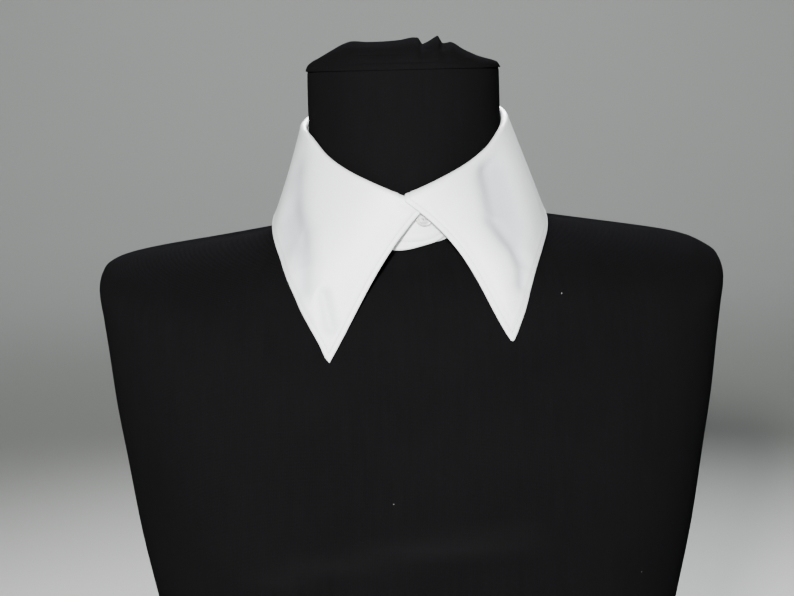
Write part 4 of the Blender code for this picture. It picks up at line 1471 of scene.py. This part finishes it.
def place_camera(scene):
    """The camera: level right and up directions tilted by its elevation, then turned by its roll about its view."""
    rise = math.radians(CAMERA_ELEVATION)
    roll = math.radians(CAMERA_ROLL)
    ahead = Vector((0.0, math.cos(rise), -math.sin(rise)))
    right = Vector((1.0, 0.0, 0.0))
    up = right.cross(ahead)
    turned_right = right * math.cos(roll) - up * math.sin(roll)
    turned_up = right * math.sin(roll) + up * math.cos(roll)
    where = (Vector(CAMERA_TARGET) - ahead * CAMERA_DISTANCE) * MM
    camera = bpy.data.cameras.new("camera")
    camera.sensor_width = SENSOR_WIDTH
    camera.lens = FOCAL_PIXELS * SENSOR_WIDTH / IMAGE_WIDTH
    camera.clip_start = 0.05
    camera.clip_end = 50.0
    obj = bpy.data.objects.new("camera", camera)
    axes = Matrix((turned_right, turned_up, -ahead)).transposed()
    obj.matrix_world = Matrix.Translation(where) @ axes.to_4x4()
    scene.collection.objects.link(obj)
    scene.camera = obj


def add_light(scene, name, where, target, size, spread, power, tint):
    """A soft square light aimed at a target."""
    light = bpy.data.lights.new(name, "AREA")
    light.shape = "SQUARE"
    light.size = size
    light.spread = math.radians(spread)
    light.energy = power
    light.color = tint
    obj = bpy.data.objects.new(name, light)
    aim = Vector(target) - Vector(where)
    obj.matrix_world = Matrix.Translation(where) @ aim.to_track_quat("-Z", "Y").to_matrix().to_4x4()
    obj.visible_camera = False
    scene.collection.objects.link(obj)


class COLLAR_OT_make_stage(bpy.types.Operator):
    """Make the pale floor, the soft lights and the camera at the photo's viewing angle"""

    bl_idname = "collar.make_stage"
    bl_label = "Floor, light and camera"

    def execute(self, context):
        scene = context.scene
        points, faces = cove_mesh()
        mesh = bpy.data.meshes.new("studio_floor")
        mesh.from_pydata(points.tolist(), [], faces)
        mesh.shade_smooth()
        mesh.materials.append(studio_finish(scene.collar_colours))
        floor = bpy.data.objects.new("studio_floor", mesh)
        scene.collection.objects.link(floor)
        world = bpy.data.worlds.new("studio air")
        world.use_nodes = True
        air = world.node_tree.nodes["Background"]
        air.inputs["Color"].default_value = AIR_TINT
        air.inputs["Strength"].default_value = AIR_STRENGTH
        scene.world = world
        for row in LIGHTS:
            add_light(scene, **dict(zip(LIGHT_COLUMNS, row)))
        place_camera(scene)
        return {"FINISHED"}


class COLLAR_PT_panel(bpy.types.Panel):
    """The collar's sizes, colours and pieces"""

    bl_idname = "COLLAR_PT_panel"
    bl_label = "Shirt collar"
    bl_space_type = "VIEW_3D"
    bl_region_type = "UI"
    bl_category = "Collar"

    def draw(self, context):
        layout = self.layout
        for group in (context.scene.collar_sizes, context.scene.collar_colours):
            for name in group.__annotations__:
                layout.prop(group, name)
        for operator in OPERATORS:
            layout.operator(operator.bl_idname)


OPERATORS = (
    COLLAR_OT_make_leaf,
    COLLAR_OT_make_band,
    COLLAR_OT_dress_button,
    COLLAR_OT_make_form,
    COLLAR_OT_make_stage,
)
CLASSES = (CollarSizes, CollarColours) + OPERATORS + (COLLAR_PT_panel,)


def register():
    for each in CLASSES:
        bpy.utils.register_class(each)
    bpy.types.Scene.collar_sizes = bpy.props.PointerProperty(type=CollarSizes)
    bpy.types.Scene.collar_colours = bpy.props.PointerProperty(type=CollarColours)


def unregister():
    del bpy.types.Scene.collar_colours
    del bpy.types.Scene.collar_sizes
    for each in reversed(CLASSES):
        bpy.utils.unregister_class(each)


def main():
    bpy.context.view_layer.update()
    register()
    bpy.ops.collar.make_leaf()
    bpy.ops.collar.make_band()
    bpy.ops.collar.dress_button()
    bpy.ops.collar.make_form()
    bpy.ops.collar.make_stage()


if __name__ == "__main__":
    main()
